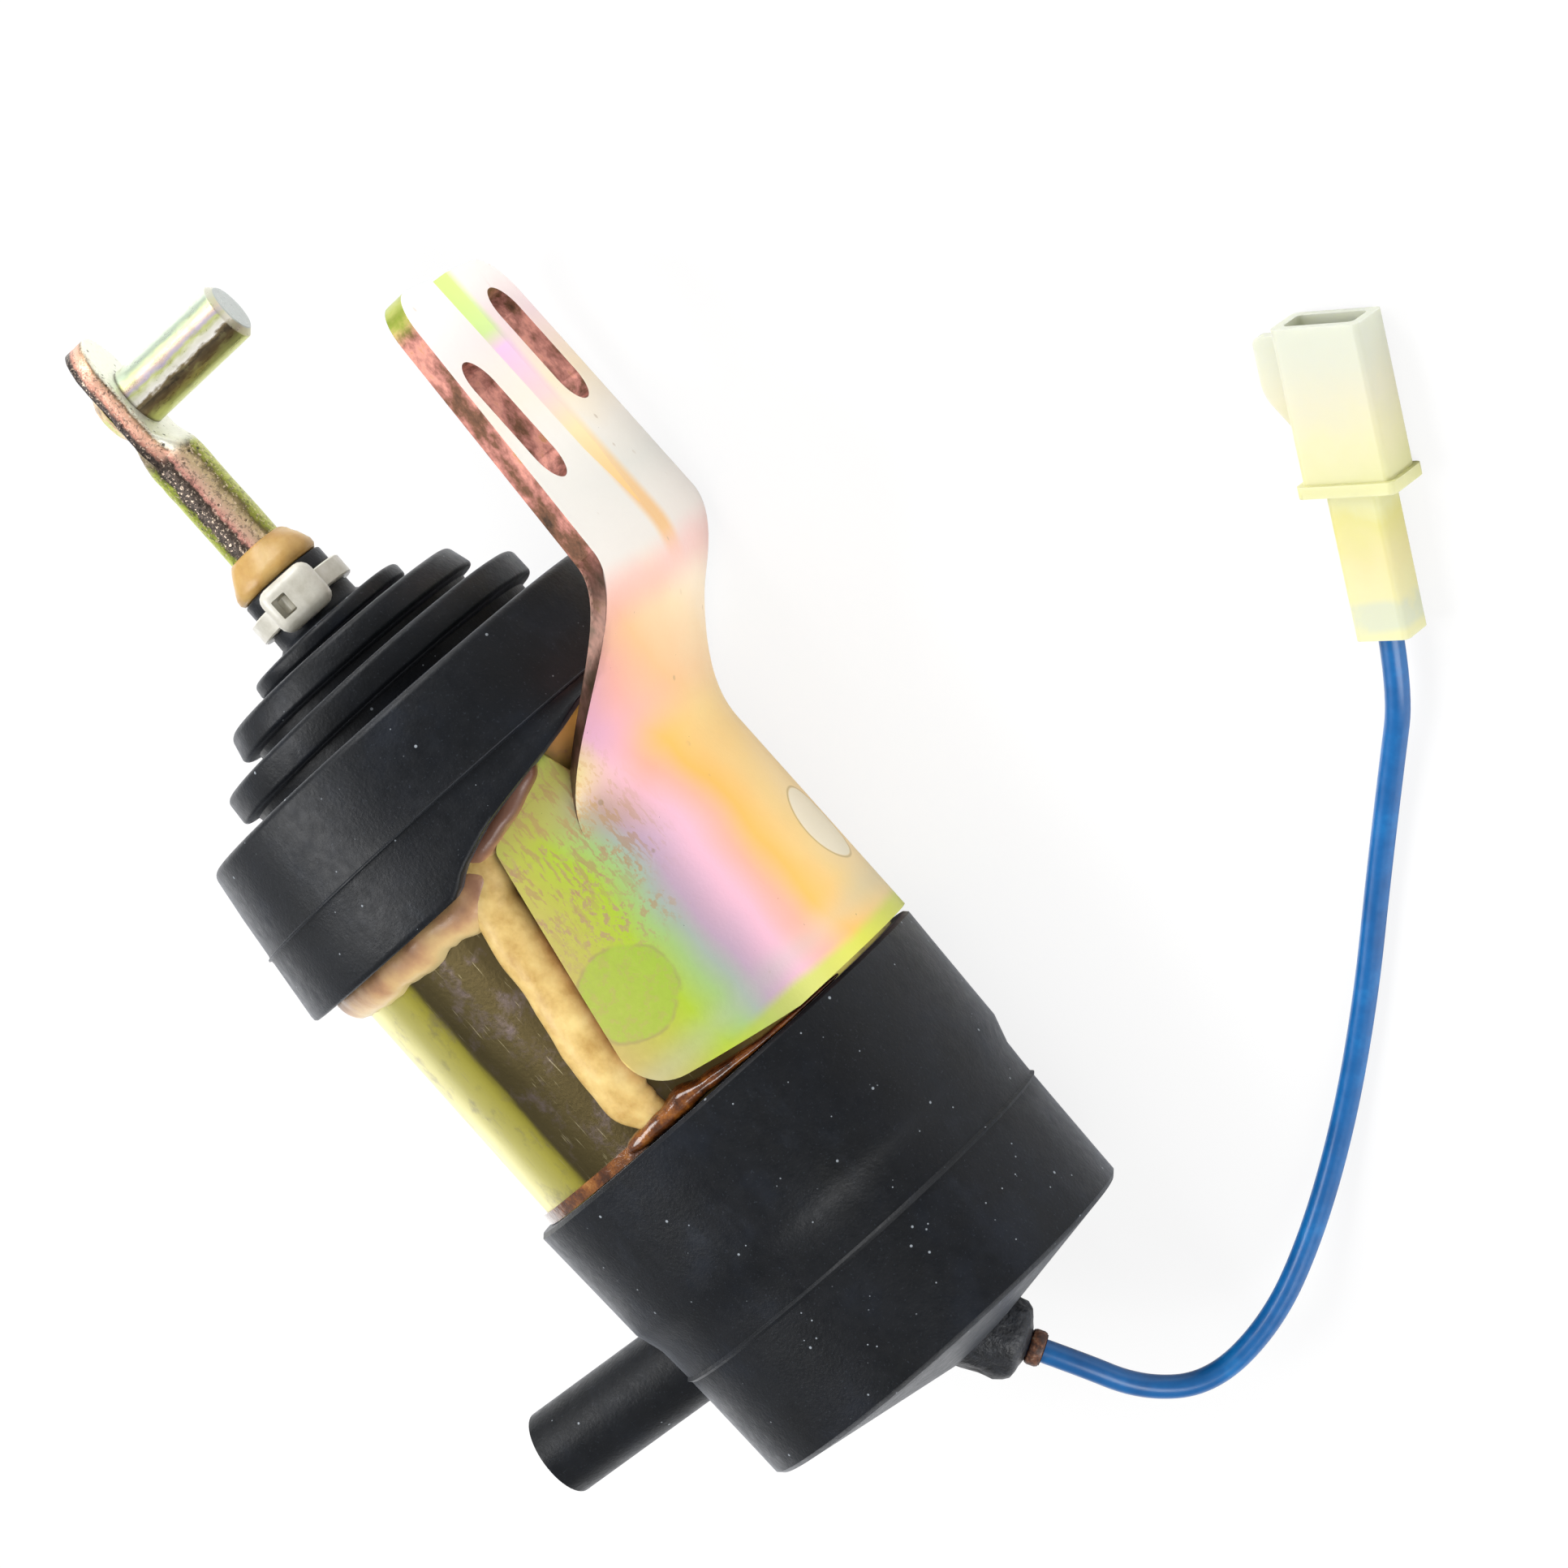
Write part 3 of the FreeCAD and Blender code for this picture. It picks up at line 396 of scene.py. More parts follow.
def bracket_wear(s, colour, across, q, drift):
    """Rubbed and scratched places on the saddle, and a brown cast beside the neck."""
    worn = s.band(s.noise(0.9, 4.0, 0.7, (1.0, 1.6, 0.5)), 0.5, 0.6)
    place = s.times(s.window(q, -6.0, 9.0, 3.0), s.window(s.x, 9.0, 30.0, 4.0))
    worn = s.times(s.times(worn, place), s.band(s.noise(5.0, 3.0), 0.42, 0.58))
    colour = s.tint(colour, worn, 0.85, "c9a981")
    scratch = s.band(s.noise(0.5, 3.0, 0.6, (0.25, 1.0, 1.0)), 0.52, 0.58)
    place = s.times(s.window(s.x, 10.0, 24.0, 3.0), s.window(across, -4.0, 12.0, 3.0))
    colour = s.tint(colour, s.times(scratch, place), 0.6, "c39a76")
    front = s.plus(s.x, s.times(across, -0.55), s.times(drift, 2.0), -1.0)
    place = s.times(s.band(across, 15.0, 9.0), s.band(s.x, 8.0, 12.0))
    return s.tint(colour, s.times(s.band(front, 16.5, 12.0), place), 0.45, "d9b26e")


def bracket_welds(s, colour, across):
    """Two round weld marks on the saddle: a lime one towards the camera and a pale one above."""
    spot = s.length(s.plus(s.x, -WELD_X), s.plus(across, 0.8))
    spot = s.shaken(spot, s.noise(3.0, 3.0), 1.2)
    marks = s.times(s.band(s.noise(1.2, 4.0, 0.7), 0.5, 0.6), 0.4)
    colour = s.tint(colour, s.band(spot, 5.0, 4.6), 0.7, s.mix(marks, "b6d254", "c3a877"))
    ring = s.times(s.window(spot, 4.8, 5.0, 0.25), s.band(s.noise(2.4, 3.0), 0.3, 0.55))
    colour = s.tint(colour, ring, 0.8, "b0a070")
    spot = s.plus(s.length(s.plus(s.x, -WELD_X), s.plus(s.z, 2.0)), s.band(s.y, 8.0, 0.0))
    colour = s.tint(colour, s.band(spot, 4.6, 4.3), 0.8, "f1efe2")
    return s.tint(colour, s.window(spot, 4.5, 4.7, 0.15), 0.7, "a9924f")


def sheared_metal(s):
    """The sheet's edges: pink and brown, dark along the neck, lime at the ear's front corner."""
    colour = s.ramp(s.noise(2.6, 5.0, 0.65, (0.5, 1.0, 1.6)), (
        (0.3, "3a2a1c"), (0.42, "6e4a36"), (0.5, "a06a5f"), (0.6, "cf8f80"), (0.68, "b07f50"),
        (0.78, "83953a")))
    colour = s.tint(colour, s.window(s.x, -1.0, 22.0, 2.0), 0.85, "332619")
    return s.tint(colour, s.band(s.x, -29.0, -32.0), 0.8, "9bb23c")


def bracket_plating():
    """Iridescent yellow chromate on a pressed sheet, rubbed off in places, bare at its edges; its
    palest bands on the saddle, neck and ear are painted highlight.
    """
    s = Shader("bracket_plating", Metallic=0.55, Roughness=0.3, Specular_IOR_Level=0.5)
    across = s.across()
    drift = s.noise(16.0, 2.0, 0.5)
    q = s.shaken(across, drift, 6.0)
    colour = s.mix(s.band(s.x, 1.0, 7.0), ear_tone(s, drift), saddle_tone(s, q, drift))
    # Chromate colours across the neck; the near-white end is a painted highlight.
    neck = s.ramp(s.band(q, 8.0, 34.0), (
        (0.0, "cfe26a"), (0.12, "dfaac6"), (0.4, "f2b3a8"), (0.62, "f5c795"), (0.85, "fbe3bd"),
        (1.0, "fdf3e0")))
    colour = s.mix(s.window(s.x, 2.0, 14.0, 2.5), colour, neck)
    fold = s.window(s.plus(s.x, s.times(drift, 3.0)), 2.6, 6.0, 1.6)
    colour = s.tint(colour, fold, 0.5, "eea9b4")
    colour = bracket_wear(s, colour, across, q, drift)
    colour = bracket_welds(s, colour, across)
    grime = s.times(s.band(s.cells(3.4), 0.12, 0.06), s.band(s.noise(7.0, 2.0), 0.5, 0.6))
    colour = s.tint(colour, grime, 0.6, "a88f6c")
    colour = s.mix(s.cut_face(), colour, sheared_metal(s))
    s.set(Base_Color=colour, Roughness=s.spread(s.noise(0.6, 4.0), 0.22, 0.22))
    s.set(Normal=s.bump(s.noise(0.35, 3.0), 0.02, 0.6))
    return s.material


ROD_RADIUS = 3.05
EYE_TIP = -54.15
EYE_HALF_WIDTH = 4.65
EYE_HALF_THICKNESS = 1.35
EYE_EDGE, EYE_FACE = 1.2, 1.32


def rod_plating():
    """Old passivated steel: brown, pink and gold specks, with pits; bands across the view, with one
    side dark, are painted reflection, and the eye has a painted highlight.
    """
    s = Shader("rod_plating", Metallic=0.6, Roughness=0.42)
    blotch = s.noise(1.0, 5.0, 0.7)
    # Painted reflection: bands across the view, dark on one side, pink in the middle and lime at
    # the edges; the side turned away keeps a plain brown.
    tone = s.ramp(s.band(s.shaken(s.across(), blotch, 1.4), -3.4, 3.4), (
        (0.0, "c3d04a"), (0.05, "8f9a34"), (0.1, "2c2520"), (0.36, "3a2f27"), (0.44, "d99a8c"),
        (0.58, "e3bba2"), (0.78, "cdb68e"), (0.89, "5d5326"), (0.95, "8f9636"), (1.0, "c6cc70")))
    under = s.ramp(blotch, ((0.35, "6d5a3e"), (0.5, "a8936a"), (0.65, "c9b184")))
    tone = s.mix(s.band(s.toward(), 0.2, -1.6), tone, under)
    level = s.eye_level()
    # Painted reflection across the eye's thickness, dark at one edge and near-white at the other.
    flat = s.ramp(s.band(s.shaken(level, blotch, 0.8), -1.45, 1.35), (
        (0.0, "2c2624"), (0.2, "3c3431"), (0.36, "c98f7c"), (0.6, "e6b39b"), (0.85, "d9a98e"),
        (0.95, "8a7050"), (1.0, "e6e8d6")))
    under = s.ramp(blotch, ((0.35, "5d5244"), (0.5, "b3a184"), (0.65, "d6cdb0")))
    flat = s.mix(s.band(level, -EYE_EDGE, -EYE_FACE), flat, under)
    colour = s.mix(s.band(s.x, -38.5, -40.5), tone, flat)
    speck = s.band(s.noise(0.42, 4.0, 0.75), 0.52, 0.58)
    colour = s.tint(colour, speck, 0.6, "5f5148")
    light = s.band(s.noise(0.36, 3.0, 0.7), 0.57, 0.64)
    colour = s.tint(colour, light, 0.55, "eed6bd")
    # Painted highlight on one flat face of the eye.
    face = s.times(s.band(level, EYE_EDGE, EYE_FACE), s.band(s.x, -38.8, -40.4))
    colour = s.tint(colour, face, 0.85, "e9ead9")
    pits = s.times(s.band(s.cells(1.0), 0.22, 0.12), s.band(s.noise(2.0, 2.0), 0.46, 0.55))
    colour = s.tint(colour, pits, 0.8, "2c2622")
    s.set(Base_Color=colour, Roughness=s.spread(blotch, 0.3, 0.25))
    s.set(Normal=s.bump(s.plus(s.times(blotch, 0.6), s.times(pits, -0.7)), 0.2, 0.8))
    return s.material


PIN_X = -46.1
# Levels along the pin from the middle of the eye: each pair is where a tone starts and is full.
PIN_HEAD = (-1.0, -1.15)
PIN_FOOT = (1.75, 1.35)
PIN_RIM = (14.35, 14.5)
PIN_END = (14.95, 15.05)


def pin_plating():
    """Yellow-passivated zinc on a turned pin: green-gold and lilac bands, a white band that is a
    painted highlight, and one side dark as painted reflection.
    """
    s = Shader("pin_plating", Metallic=0.65, Roughness=0.3)
    grain = s.noise(0.7, 4.0, 0.6, (1.0, 0.35, 1.0))
    side = s.shaken(s.plus(s.x, -PIN_X), grain, 1.2)
    # Bands across the pin as seen from the view: the white stops are a painted highlight and the
    # dark brown stops a painted reflection.
    colour = s.ramp(s.band(side, -3.6, 3.6), (
        (0.0, "dfe6d6"), (0.1, "b7c7b2"), (0.22, "c3c98a"), (0.32, "dcc3b0"), (0.42, "b9aec0"),
        (0.5, "c9cf86"), (0.6, "f2f0dc"), (0.7, "fbf7ee"), (0.75, "7a6a4c"), (0.8, "3d3324"),
        (0.9, "6b5a3c"), (1.0, "c8cf7a")))
    stain = s.band(s.noise(1.4, 4.0, 0.65), 0.56, 0.7)
    colour = s.tint(colour, stain, 0.3, "8f8a5c")
    level = s.eye_level()
    colour = s.tint(colour, s.band(level, *PIN_RIM), 0.7, "b3ad9c")
    colour = s.mix(s.band(level, *PIN_END), colour, "a3a9a6")
    colour = s.tint(colour, s.band(level, *PIN_FOOT), 0.8, "3a3020")
    head = s.ramp(s.noise(1.3, 4.0, 0.65), (
        (0.3, "4a3826"), (0.44, "b08a52"), (0.54, "d9bb8a"), (0.64, "b3bf4c"), (0.75, "e6e3b8")))
    colour = s.mix(s.band(level, *PIN_HEAD), colour, head)
    s.set(Base_Color=colour, Roughness=s.spread(grain, 0.25, 0.18),
          Normal=s.bump(grain, 0.04, 0.6))
    return s.material


def sealant():
    """Tan sealant that has run and set: brown at its edges, and darker in front, on the rod."""
    s = Shader("sealant", Roughness=0.38, Specular_IOR_Level=0.45, Subsurface_Weight=0.15,
               Subsurface_Radius=(0.002, 0.0012, 0.0006), Subsurface_Scale=0.5)
    cloud = s.noise(3.0, 4.0, 0.6)
    colour = s.ramp(cloud, ((0.3, "b28e4c"), (0.5, "cdae6b"), (0.7, "dcc381")))
    colour = s.tint(colour, s.edge(0.8), 0.7, "8d6a4a")
    colour = s.tint(colour, s.band(s.x, -21.0, -22.5), 0.55, "a5793c")
    s.set(Base_Color=colour, Normal=s.bump(s.noise(1.4, 4.0), 0.12, 0.5))
    return s.material


def stained_sealant():
    """The same sealant beside the boot: tan low on the can, brown further out."""
    s = Shader("stained_sealant", Roughness=0.32, Specular_IOR_Level=0.45)
    level = s.shaken(s.length(s.y, s.z), s.noise(2.5, 4.0), 1.2)
    colour = s.ramp(s.band(level, 23.0, 26.0), (
        (0.0, "dcc791"), (0.35, "d2b27c"), (0.6, "b98f68"), (0.8, "946a50"), (1.0, "6b4838")))
    s.set(Base_Color=colour, Normal=s.bump(s.noise(1.2, 4.0), 0.12, 0.5))
    return s.material


def adhesive():
    """Amber film, nearly black in places."""
    s = Shader("adhesive", Roughness=0.16, Coat_Weight=0.5, Coat_Roughness=0.08)
    colour = s.ramp(s.noise(2.2, 5.0, 0.7), (
        (0.3, "241206"), (0.48, "5a2f10"), (0.62, "8a521c"), (0.8, "b98442")))
    s.set(Base_Color=colour, Normal=s.bump(s.noise(0.9, 3.0), 0.15, 0.6))
    return s.material


def black_sealant():
    s = Shader("black_sealant", Roughness=0.42)
    cloud = s.noise(1.0, 4.0, 0.65)
    colour = s.ramp(cloud, ((0.3, "101215"), (0.6, "22252b"), (0.8, "3c4046")))
    s.set(Base_Color=colour, Normal=s.bump(s.noise(0.8, 4.0, 0.6), 0.3, 0.8))
    return s.material


def stained_sleeve():
    s = Shader("stained_sleeve", Roughness=0.45)
    colour = s.ramp(s.noise(0.8, 4.0, 0.65), (
        (0.3, "1c1210"), (0.48, "4a2e22"), (0.6, "7a4e36"), (0.72, "9a8a76")))
    s.set(Base_Color=colour, Normal=s.bump(s.noise(0.5, 4.0), 0.1, 0.7))
    return s.material


def blue_pvc():
    """Blue wire insulation, slightly glossy, with handling marks."""
    s = Shader("blue_pvc", Roughness=0.34, Specular_IOR_Level=0.5, Coat_Weight=0.15,
               Coat_Roughness=0.2)
    cloud = s.noise(4.0, 4.0, 0.6)
    colour = s.ramp(cloud, ((0.3, "00508c"), (0.55, "005c9c"), (0.8, "0872b4")))
    marks = s.band(s.noise(0.7, 3.0, 0.6), 0.66, 0.78)
    colour = s.tint(colour, marks, 0.35, "0a3d86")
    s.set(Base_Color=colour, Roughness=s.spread(s.noise(1.0, 3.0), 0.2, 0.24))
    s.set(Normal=s.bump(s.noise(1.5, 3.0), 0.04, 0.5))
    return s.material


# The connector's long axis in the solenoid's frame, and the distance along it that counts as 0.
CONNECTOR_AXIS = (0.881, -0.461, -0.105)
CONNECTOR_ZERO = -8.92


def connector_nylon():
    """Natural nylon: cloudy and pale, yellower at one end, with a grey tint over the terminal."""
    s = Shader("connector_nylon", Roughness=0.45, Transmission_Weight=0.2, IOR=1.5,
               Subsurface_Weight=0.35, Subsurface_Radius=(0.003, 0.003, 0.002),
               Subsurface_Scale=0.6)
    reach = s.plus(*(s.times(c, part) for c, part in zip((s.x, s.y, s.z), CONNECTOR_AXIS)),
                   -CONNECTOR_ZERO)
    cloud = s.noise(4.0, 3.0, 0.6)
    place = s.band(s.shaken(reach, cloud, 5.0), -15.0, 18.0)
    colour = s.ramp(place, (
        (0.0, "d3d6c6"), (0.16, "ddd9be"), (0.32, "e2ddb2"), (0.5, "dcdaa4"), (0.6, "e2e0aa"),
        (0.68, "dfd88c"), (0.84, "e4daa0"), (1.0, "e6e3b0")))
    inside = s.times(s.window(reach, 13.6, 16.6, 0.5), s.band(cloud, 0.2, 0.5))
    colour = s.tint(colour, inside, 0.4, "b9cbd0")
    s.set(Base_Color=colour, Normal=s.bump(s.noise(2.0, 3.0), 0.06, 0.5))
    return s.material


def tie_nylon():
    s = Shader("tie_nylon", Roughness=0.3, Transmission_Weight=0.35, IOR=1.5)
    cloud = s.noise(1.6, 4.0, 0.6)
    colour = s.ramp(cloud, ((0.3, "d3cfc0"), (0.6, "edeade"), (0.8, "f8f6ee")))
    s.set(Base_Color=colour, Normal=s.bump(s.noise(0.8, 3.0), 0.06, 0.6))
    return s.material


def plain(name, tones, metallic, roughness, grain, stretch=None):
    """Metal or plastic with a mottled tone, from dark to light, and fine surface grain."""
    s = Shader(name, Metallic=metallic)
    mottle = s.noise(grain, 4.0, 0.6, stretch)
    s.set(Base_Color=s.ramp(mottle, tuple(zip((0.3, 0.52, 0.75), tones))),
          Roughness=s.spread(mottle, 0.2, roughness - 0.1), Normal=s.bump(mottle, 0.05, 0.6))
    return s.material


SHADERS = (rubber, can_plating, bracket_plating, rod_plating, pin_plating, sealant, adhesive,
           stained_sealant, black_sealant, stained_sleeve, blue_pvc, connector_nylon, tie_nylon)
PLAIN = {
    "bare_steel": (("6f7073", "96979a", "b9babc"), 0.9, 0.35, 1.2, (0.3, 1.0, 1.0)),
    "bronze": (("8a5a2c", "b07f45", "d0a566"), 0.9, 0.38, 0.8),
    "nylon": (("c9c4b4", "dedaca", "efecdf"), 0.0, 0.45, 2.0),
    "copper": (("7c2f16", "a9502a", "cf7c4a"), 0.85, 0.32, 0.5, (6.0, 1.0, 1.0)),
    "tape": (("b5a04a", "cdb85e", "dfcd7e"), 0.0, 0.4, 2.4),
    "terminal_brass": (("7f8a94", "a9b4bd", "d2d9df"), 0.85, 0.3, 0.8),
}
MATERIALS = {make.__name__: make() for make in SHADERS}
MATERIALS.update((name, plain(name, *values)) for name, values in PLAIN.items())


def dress(obj, name):
    """Gives every material slot of the object this material."""
    material = MATERIALS[name]
    if not obj.data.materials:
        obj.data.materials.append(material)
    for slot in obj.material_slots:
        slot.material = material


for part in frame["record"]["subparts"]:
    dress(nodes[part["node"]], part["material_slot"])


# Mesh helpers

def mesh_object(name, points, faces, smooth=True):
    """Object with a mesh through these points, all its faces smooth or all of them flat."""
    mesh = bpy.data.meshes.new(name)
    mesh.from_pydata([tuple(p) for p in points], [], faces)
    mesh.validate()
    for polygon in mesh.polygons:
        polygon.use_smooth = smooth
    return add_object(name, mesh)


def apply_modifiers(obj):
    """Leaves the object with the mesh that its modifiers make."""
    bpy.context.view_layer.update()
    graph = bpy.context.evaluated_depsgraph_get()
    mesh = bpy.data.meshes.new_from_object(obj.evaluated_get(graph))
    obj.modifiers.clear()
    obj.data = mesh


def ring_faces(a, b, count):
    """Faces between two rings of points, which start at these indices."""
    return [(a + k, a + (k + 1) % count, b + (k + 1) % count, b + k) for k in range(count)]


def tube(name, points, count):
    """Closed mesh through a run of rings of this many points, with a face at each end."""
    last = len(points) - count
    faces = []
    for start in range(0, last, count):
        faces += ring_faces(start, start + count, count)
    faces += [tuple(range(count)), tuple(last + k for k in reversed(range(count)))]
    return mesh_object(name, points, faces)


def turned(name, points, count):
    """Closed mesh through outlines of this many points, set one after another round an axis."""
    faces = []
    for start in range(0, len(points), count):
        faces += ring_faces(start, (start + count) % len(points), count)
    return mesh_object(name, points, faces)


def crisp(obj, degrees=180.0):
    """Turns a closed mesh's faces outwards, and marks edges sharp that bend by this or more."""
    work = bmesh.new()
    work.from_mesh(obj.data)
    bmesh.ops.recalc_face_normals(work, faces=work.faces)
    limit = math.radians(degrees)
    for edge in work.edges:
        if len(edge.link_faces) == 2:
            edge.smooth = edge.calc_face_angle(0.0) < limit
    work.to_mesh(obj.data)
    work.free()


def body_of(node):
    """Name of the body that carries a CAD node."""
    return next(name for name, empty in frame["bodies"].items() if nodes[node].parent == empty)


def finished(obj, slot, body, *replaced, sharp=None):
    """Dresses a piece, and names its slot, its body and the CAD nodes that it replaces."""
    if sharp:
        crisp(obj, sharp)
    dress(obj, slot)
    if body:
        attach(obj, body)
    if replaced:
        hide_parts(*replaced)
    return obj


WELD_GAP = 0.002
SHARP_CAD_EDGE = math.radians(35.0)


def soften(node, width):
    """Rounds the sharp edges of a CAD node with modifiers alone, so its mesh stays as packed."""
    obj = nodes[node]
    weld = obj.modifiers.new("weld", "WELD")
    weld.merge_threshold = WELD_GAP * MM
    bevel = obj.modifiers.new("bevel", "BEVEL")
    bevel.width = width * MM
    bevel.segments = 2
    bevel.limit_method = "ANGLE"
    bevel.angle_limit = SHARP_CAD_EDGE
    bevel.use_clamp_overlap = True
    bevel.miter_outer = "MITER_ARC"
    normals = obj.modifiers.new("normals", "WEIGHTED_NORMAL")
    normals.keep_sharp = True


def lathe(name, profile, steps, wobble=None):
    """Closed outline of (x, radius) points, turned about the solenoid's axis."""
    points = []
    for i in range(steps):
        angle = 2 * math.pi * i / steps
        for x, radius in profile:
            if wobble:
                x, radius = wobble(x, radius, angle)
            points.append(at(x, radius * math.cos(angle), radius * math.sin(angle)))
    return turned(name, points, len(profile))


# Lead

# Control points from the splice to the terminal, in the row frame and in millimetres.
LEAD_ROUTE = (
    (62.280, 2.127, 22.901), (72.843, 6.732, 18.321), (79.9, 7.9, 14.0), (84.0, 12.2, 9.8),
    (82.8, 20.8, 6.2), (78.2, 29.6, 3.2), (71.2, 40.4, 1.4), (62.7, 52.3, 1.3),
    (54.0, 63.0, 1.3), (46.7, 72.6, 1.8), (40.726, 81.228, 3.2), (30.583, 87.640, 3.2),
)
LEAD_DIAMETER = 2.5


def make_lead():
    """The blue lead, as a cord from the seal at the cap to the connector."""
    curve = bpy.data.curves.new("lead", "CURVE")
    curve.dimensions = "3D"
    spline = curve.splines.new("NURBS")
    spline.points.add(len(LEAD_ROUTE) - 1)
    for point, place in zip(spline.points, LEAD_ROUTE):
        point.co = (*(Vector(place) * MM), 1.0)
    spline.order_u = 3
    spline.use_endpoint_u = True
    spline.resolution_u = 12
    curve.bevel_depth = LEAD_DIAMETER / 2 * MM
    curve.bevel_resolution = 8
    curve.use_fill_caps = True
    lead = finished(add_object("lead", curve), "blue_pvc", "housing", "lead_wire")


make_lead()


# Boot

def arc(x, radius, size, start, end, steps=4):
    """Points of a rounded corner in the (x, radius) plane, between two angles in degrees."""
    made = []
    for i in range(steps + 1):
        a = math.radians(start + (end - start) * i / steps)
        made.append((x + size * math.cos(a), radius + size * math.sin(a)))
    return made


BOOT_STEPS = 160
LIP_X = 13.0
LIP_SKEW = 0.0472
LIP_KNEE = 6.6
# Height above the axis along the ear's normal, and the furthest back that the lip reaches there.
LIP_NOTCH = ((1.5, 15.0), (4.5, 12.7), (9.0, 11.0), (15.4, 9.6), (19.0, 8.6), (22.0, 7.4),
             (60.0, 7.4))
PROFILE_BACK = 13.55
SKIRT_FRONT = -4.4
SKIRT_RADIUS = 25.5
SKIRT_SLOPE = 2.1 / 17.95
# Stations of the skirt's outside, and how far each stands out of its straight slope.
SKIRT_ROWS = ((1.0, 0), (3.0, 0), (5.3, 0), (5.62, 0.05), (5.74, 0.3), (5.86, 0.3), (5.98, 0.05),
              (6.3, 0), (8.5, 0), (10.5, 0), (12.9, 0))
DISC_INNER = 9.0


def between(value, table):
    """Straight-line look-up in a table of pairs."""
    for (x0, y0), (x1, y1) in zip(table, table[1:]):
        if value <= x1:
            return y0 + (y1 - y0) * max(0.0, value - x0) / (x1 - x0)
    return table[-1][1]


def lip_at(radius, angle):
    """Station of the skirt's lip: a crooked plane, cut back where the bracket climbs over it."""
    y = radius * math.cos(angle)
    lip = LIP_X + LIP_SKEW * radius * math.sin(angle)
    return min(lip, between(y, LIP_NOTCH)) if y > LIP_NOTCH[0][0] else lip


def boot_wobble(x, radius, angle):
    """Trims the skirt to its lip, and lets the thin edges of the discs waver a little."""
    if x > LIP_KNEE:
        share = (x - LIP_KNEE) / (PROFILE_BACK - LIP_KNEE)
        x = LIP_KNEE + share * (lip_at(radius, angle) - LIP_KNEE)
    if radius > DISC_INNER and x < 0:
        radius += 0.07 * math.sin(3 * angle + x) + 0.04 * math.sin(7 * angle + 2.0 * x)
        x += 0.08 * math.sin(2 * angle + 0.5 * radius)
    return x, radius


def boot_profile():
    """Outline of the boot: neck, three discs and skirt outside, then the same way back inside."""
    profile = [(-22.6, 3.15), (-22.6, 4.6)] + arc(-22.3, 4.6, 0.3, 180, 90)
    profile += [(-20.95, 4.9), (-20.85, 4.72), (-18.35, 4.72), (-18.25, 4.9), (-16.9, 4.95)]
    profile += [(-16.35, 5.6), (-16.1, 8.7)] + arc(-15.5, 9.0, 0.6, 175, 92, 5)
    profile += arc(-14.75, 9.25, 0.4, 88, 0) + [(-14.3, 8.75), (-14.2, 8.45), (-14.0, 8.4)]
    profile += [(-13.85, 8.9), (-13.75, 12.9)] + arc(-12.9, 14.0, 0.9, 172, 108, 5)
    profile += arc(-11.2, 14.85, 0.5, 98, 0, 5) + [(-10.65, 14.2), (-10.45, 13.85), (-9.6, 13.8)]
    profile += [(-9.35, 14.2), (-9.3, 17.9)] + arc(-8.6, 18.6, 0.75, 176, 98, 5)
    profile += arc(-6.6, 18.95, 0.5, 90, 0, 5) + [(-6.05, 18.3), (-5.85, 17.9), (-4.7, 17.8)]
    profile += [(-4.45, 18.3), (-4.4, 24.2)] + arc(-3.5, 24.65, 0.9, 176, 97, 6)
    profile += [(x, SKIRT_RADIUS + SKIRT_SLOPE * (x - SKIRT_FRONT) + rise)
                for x, rise in SKIRT_ROWS]
    profile += [(13.35, 27.5), (13.55, 27.3), (13.55, 25.5), (13.3, 25.25), (9.0, 24.2)]
    profile += [(5.0, 22.93), (0.0, 22.93), (0.0, 15.25), (-4.9, 15.25), (-7.75, 14.25)]
    profile += [(-7.75, 10.05), (-12.25, 9.05), (-12.25, 5.5), (-14.1, 5.5), (-14.9, 3.15)]
    return profile


def make_boot():
    """The rubber boot, with its folded discs between the skirt on the can and the neck on the rod.
    """
    boot = lathe("boot", boot_profile(), BOOT_STEPS, boot_wobble)
    finished(boot, "rubber", None, "plunger_boot", sharp=50.0)
    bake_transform(boot)


make_boot()


# Sealants

CAN_RADIUS = 22.93


def smoothed(rows, steps):
    """Catmull-Rom curve through rows of numbers, this many steps between each pair."""
    made = []
    for i in range(len(rows) - 1):
        four = rows[max(i - 1, 0)], rows[i], rows[i + 1], rows[min(i + 2, len(rows) - 1)]
        for k in range(steps):
            t = k / steps
            made.append([0.5 * (2 * b + (c - a) * t + (2 * a - 5 * b + 4 * c - d) * t * t
                                + (3 * b - a - 3 * c + d) * t ** 3) for a, b, c, d in zip(*four)])
    return made + [list(rows[-1])]


BEAD_ACROSS = 13
BEAD_STEPS = 8
BEAD_LIFT = 0.04
BEAD_SINK = 0.02


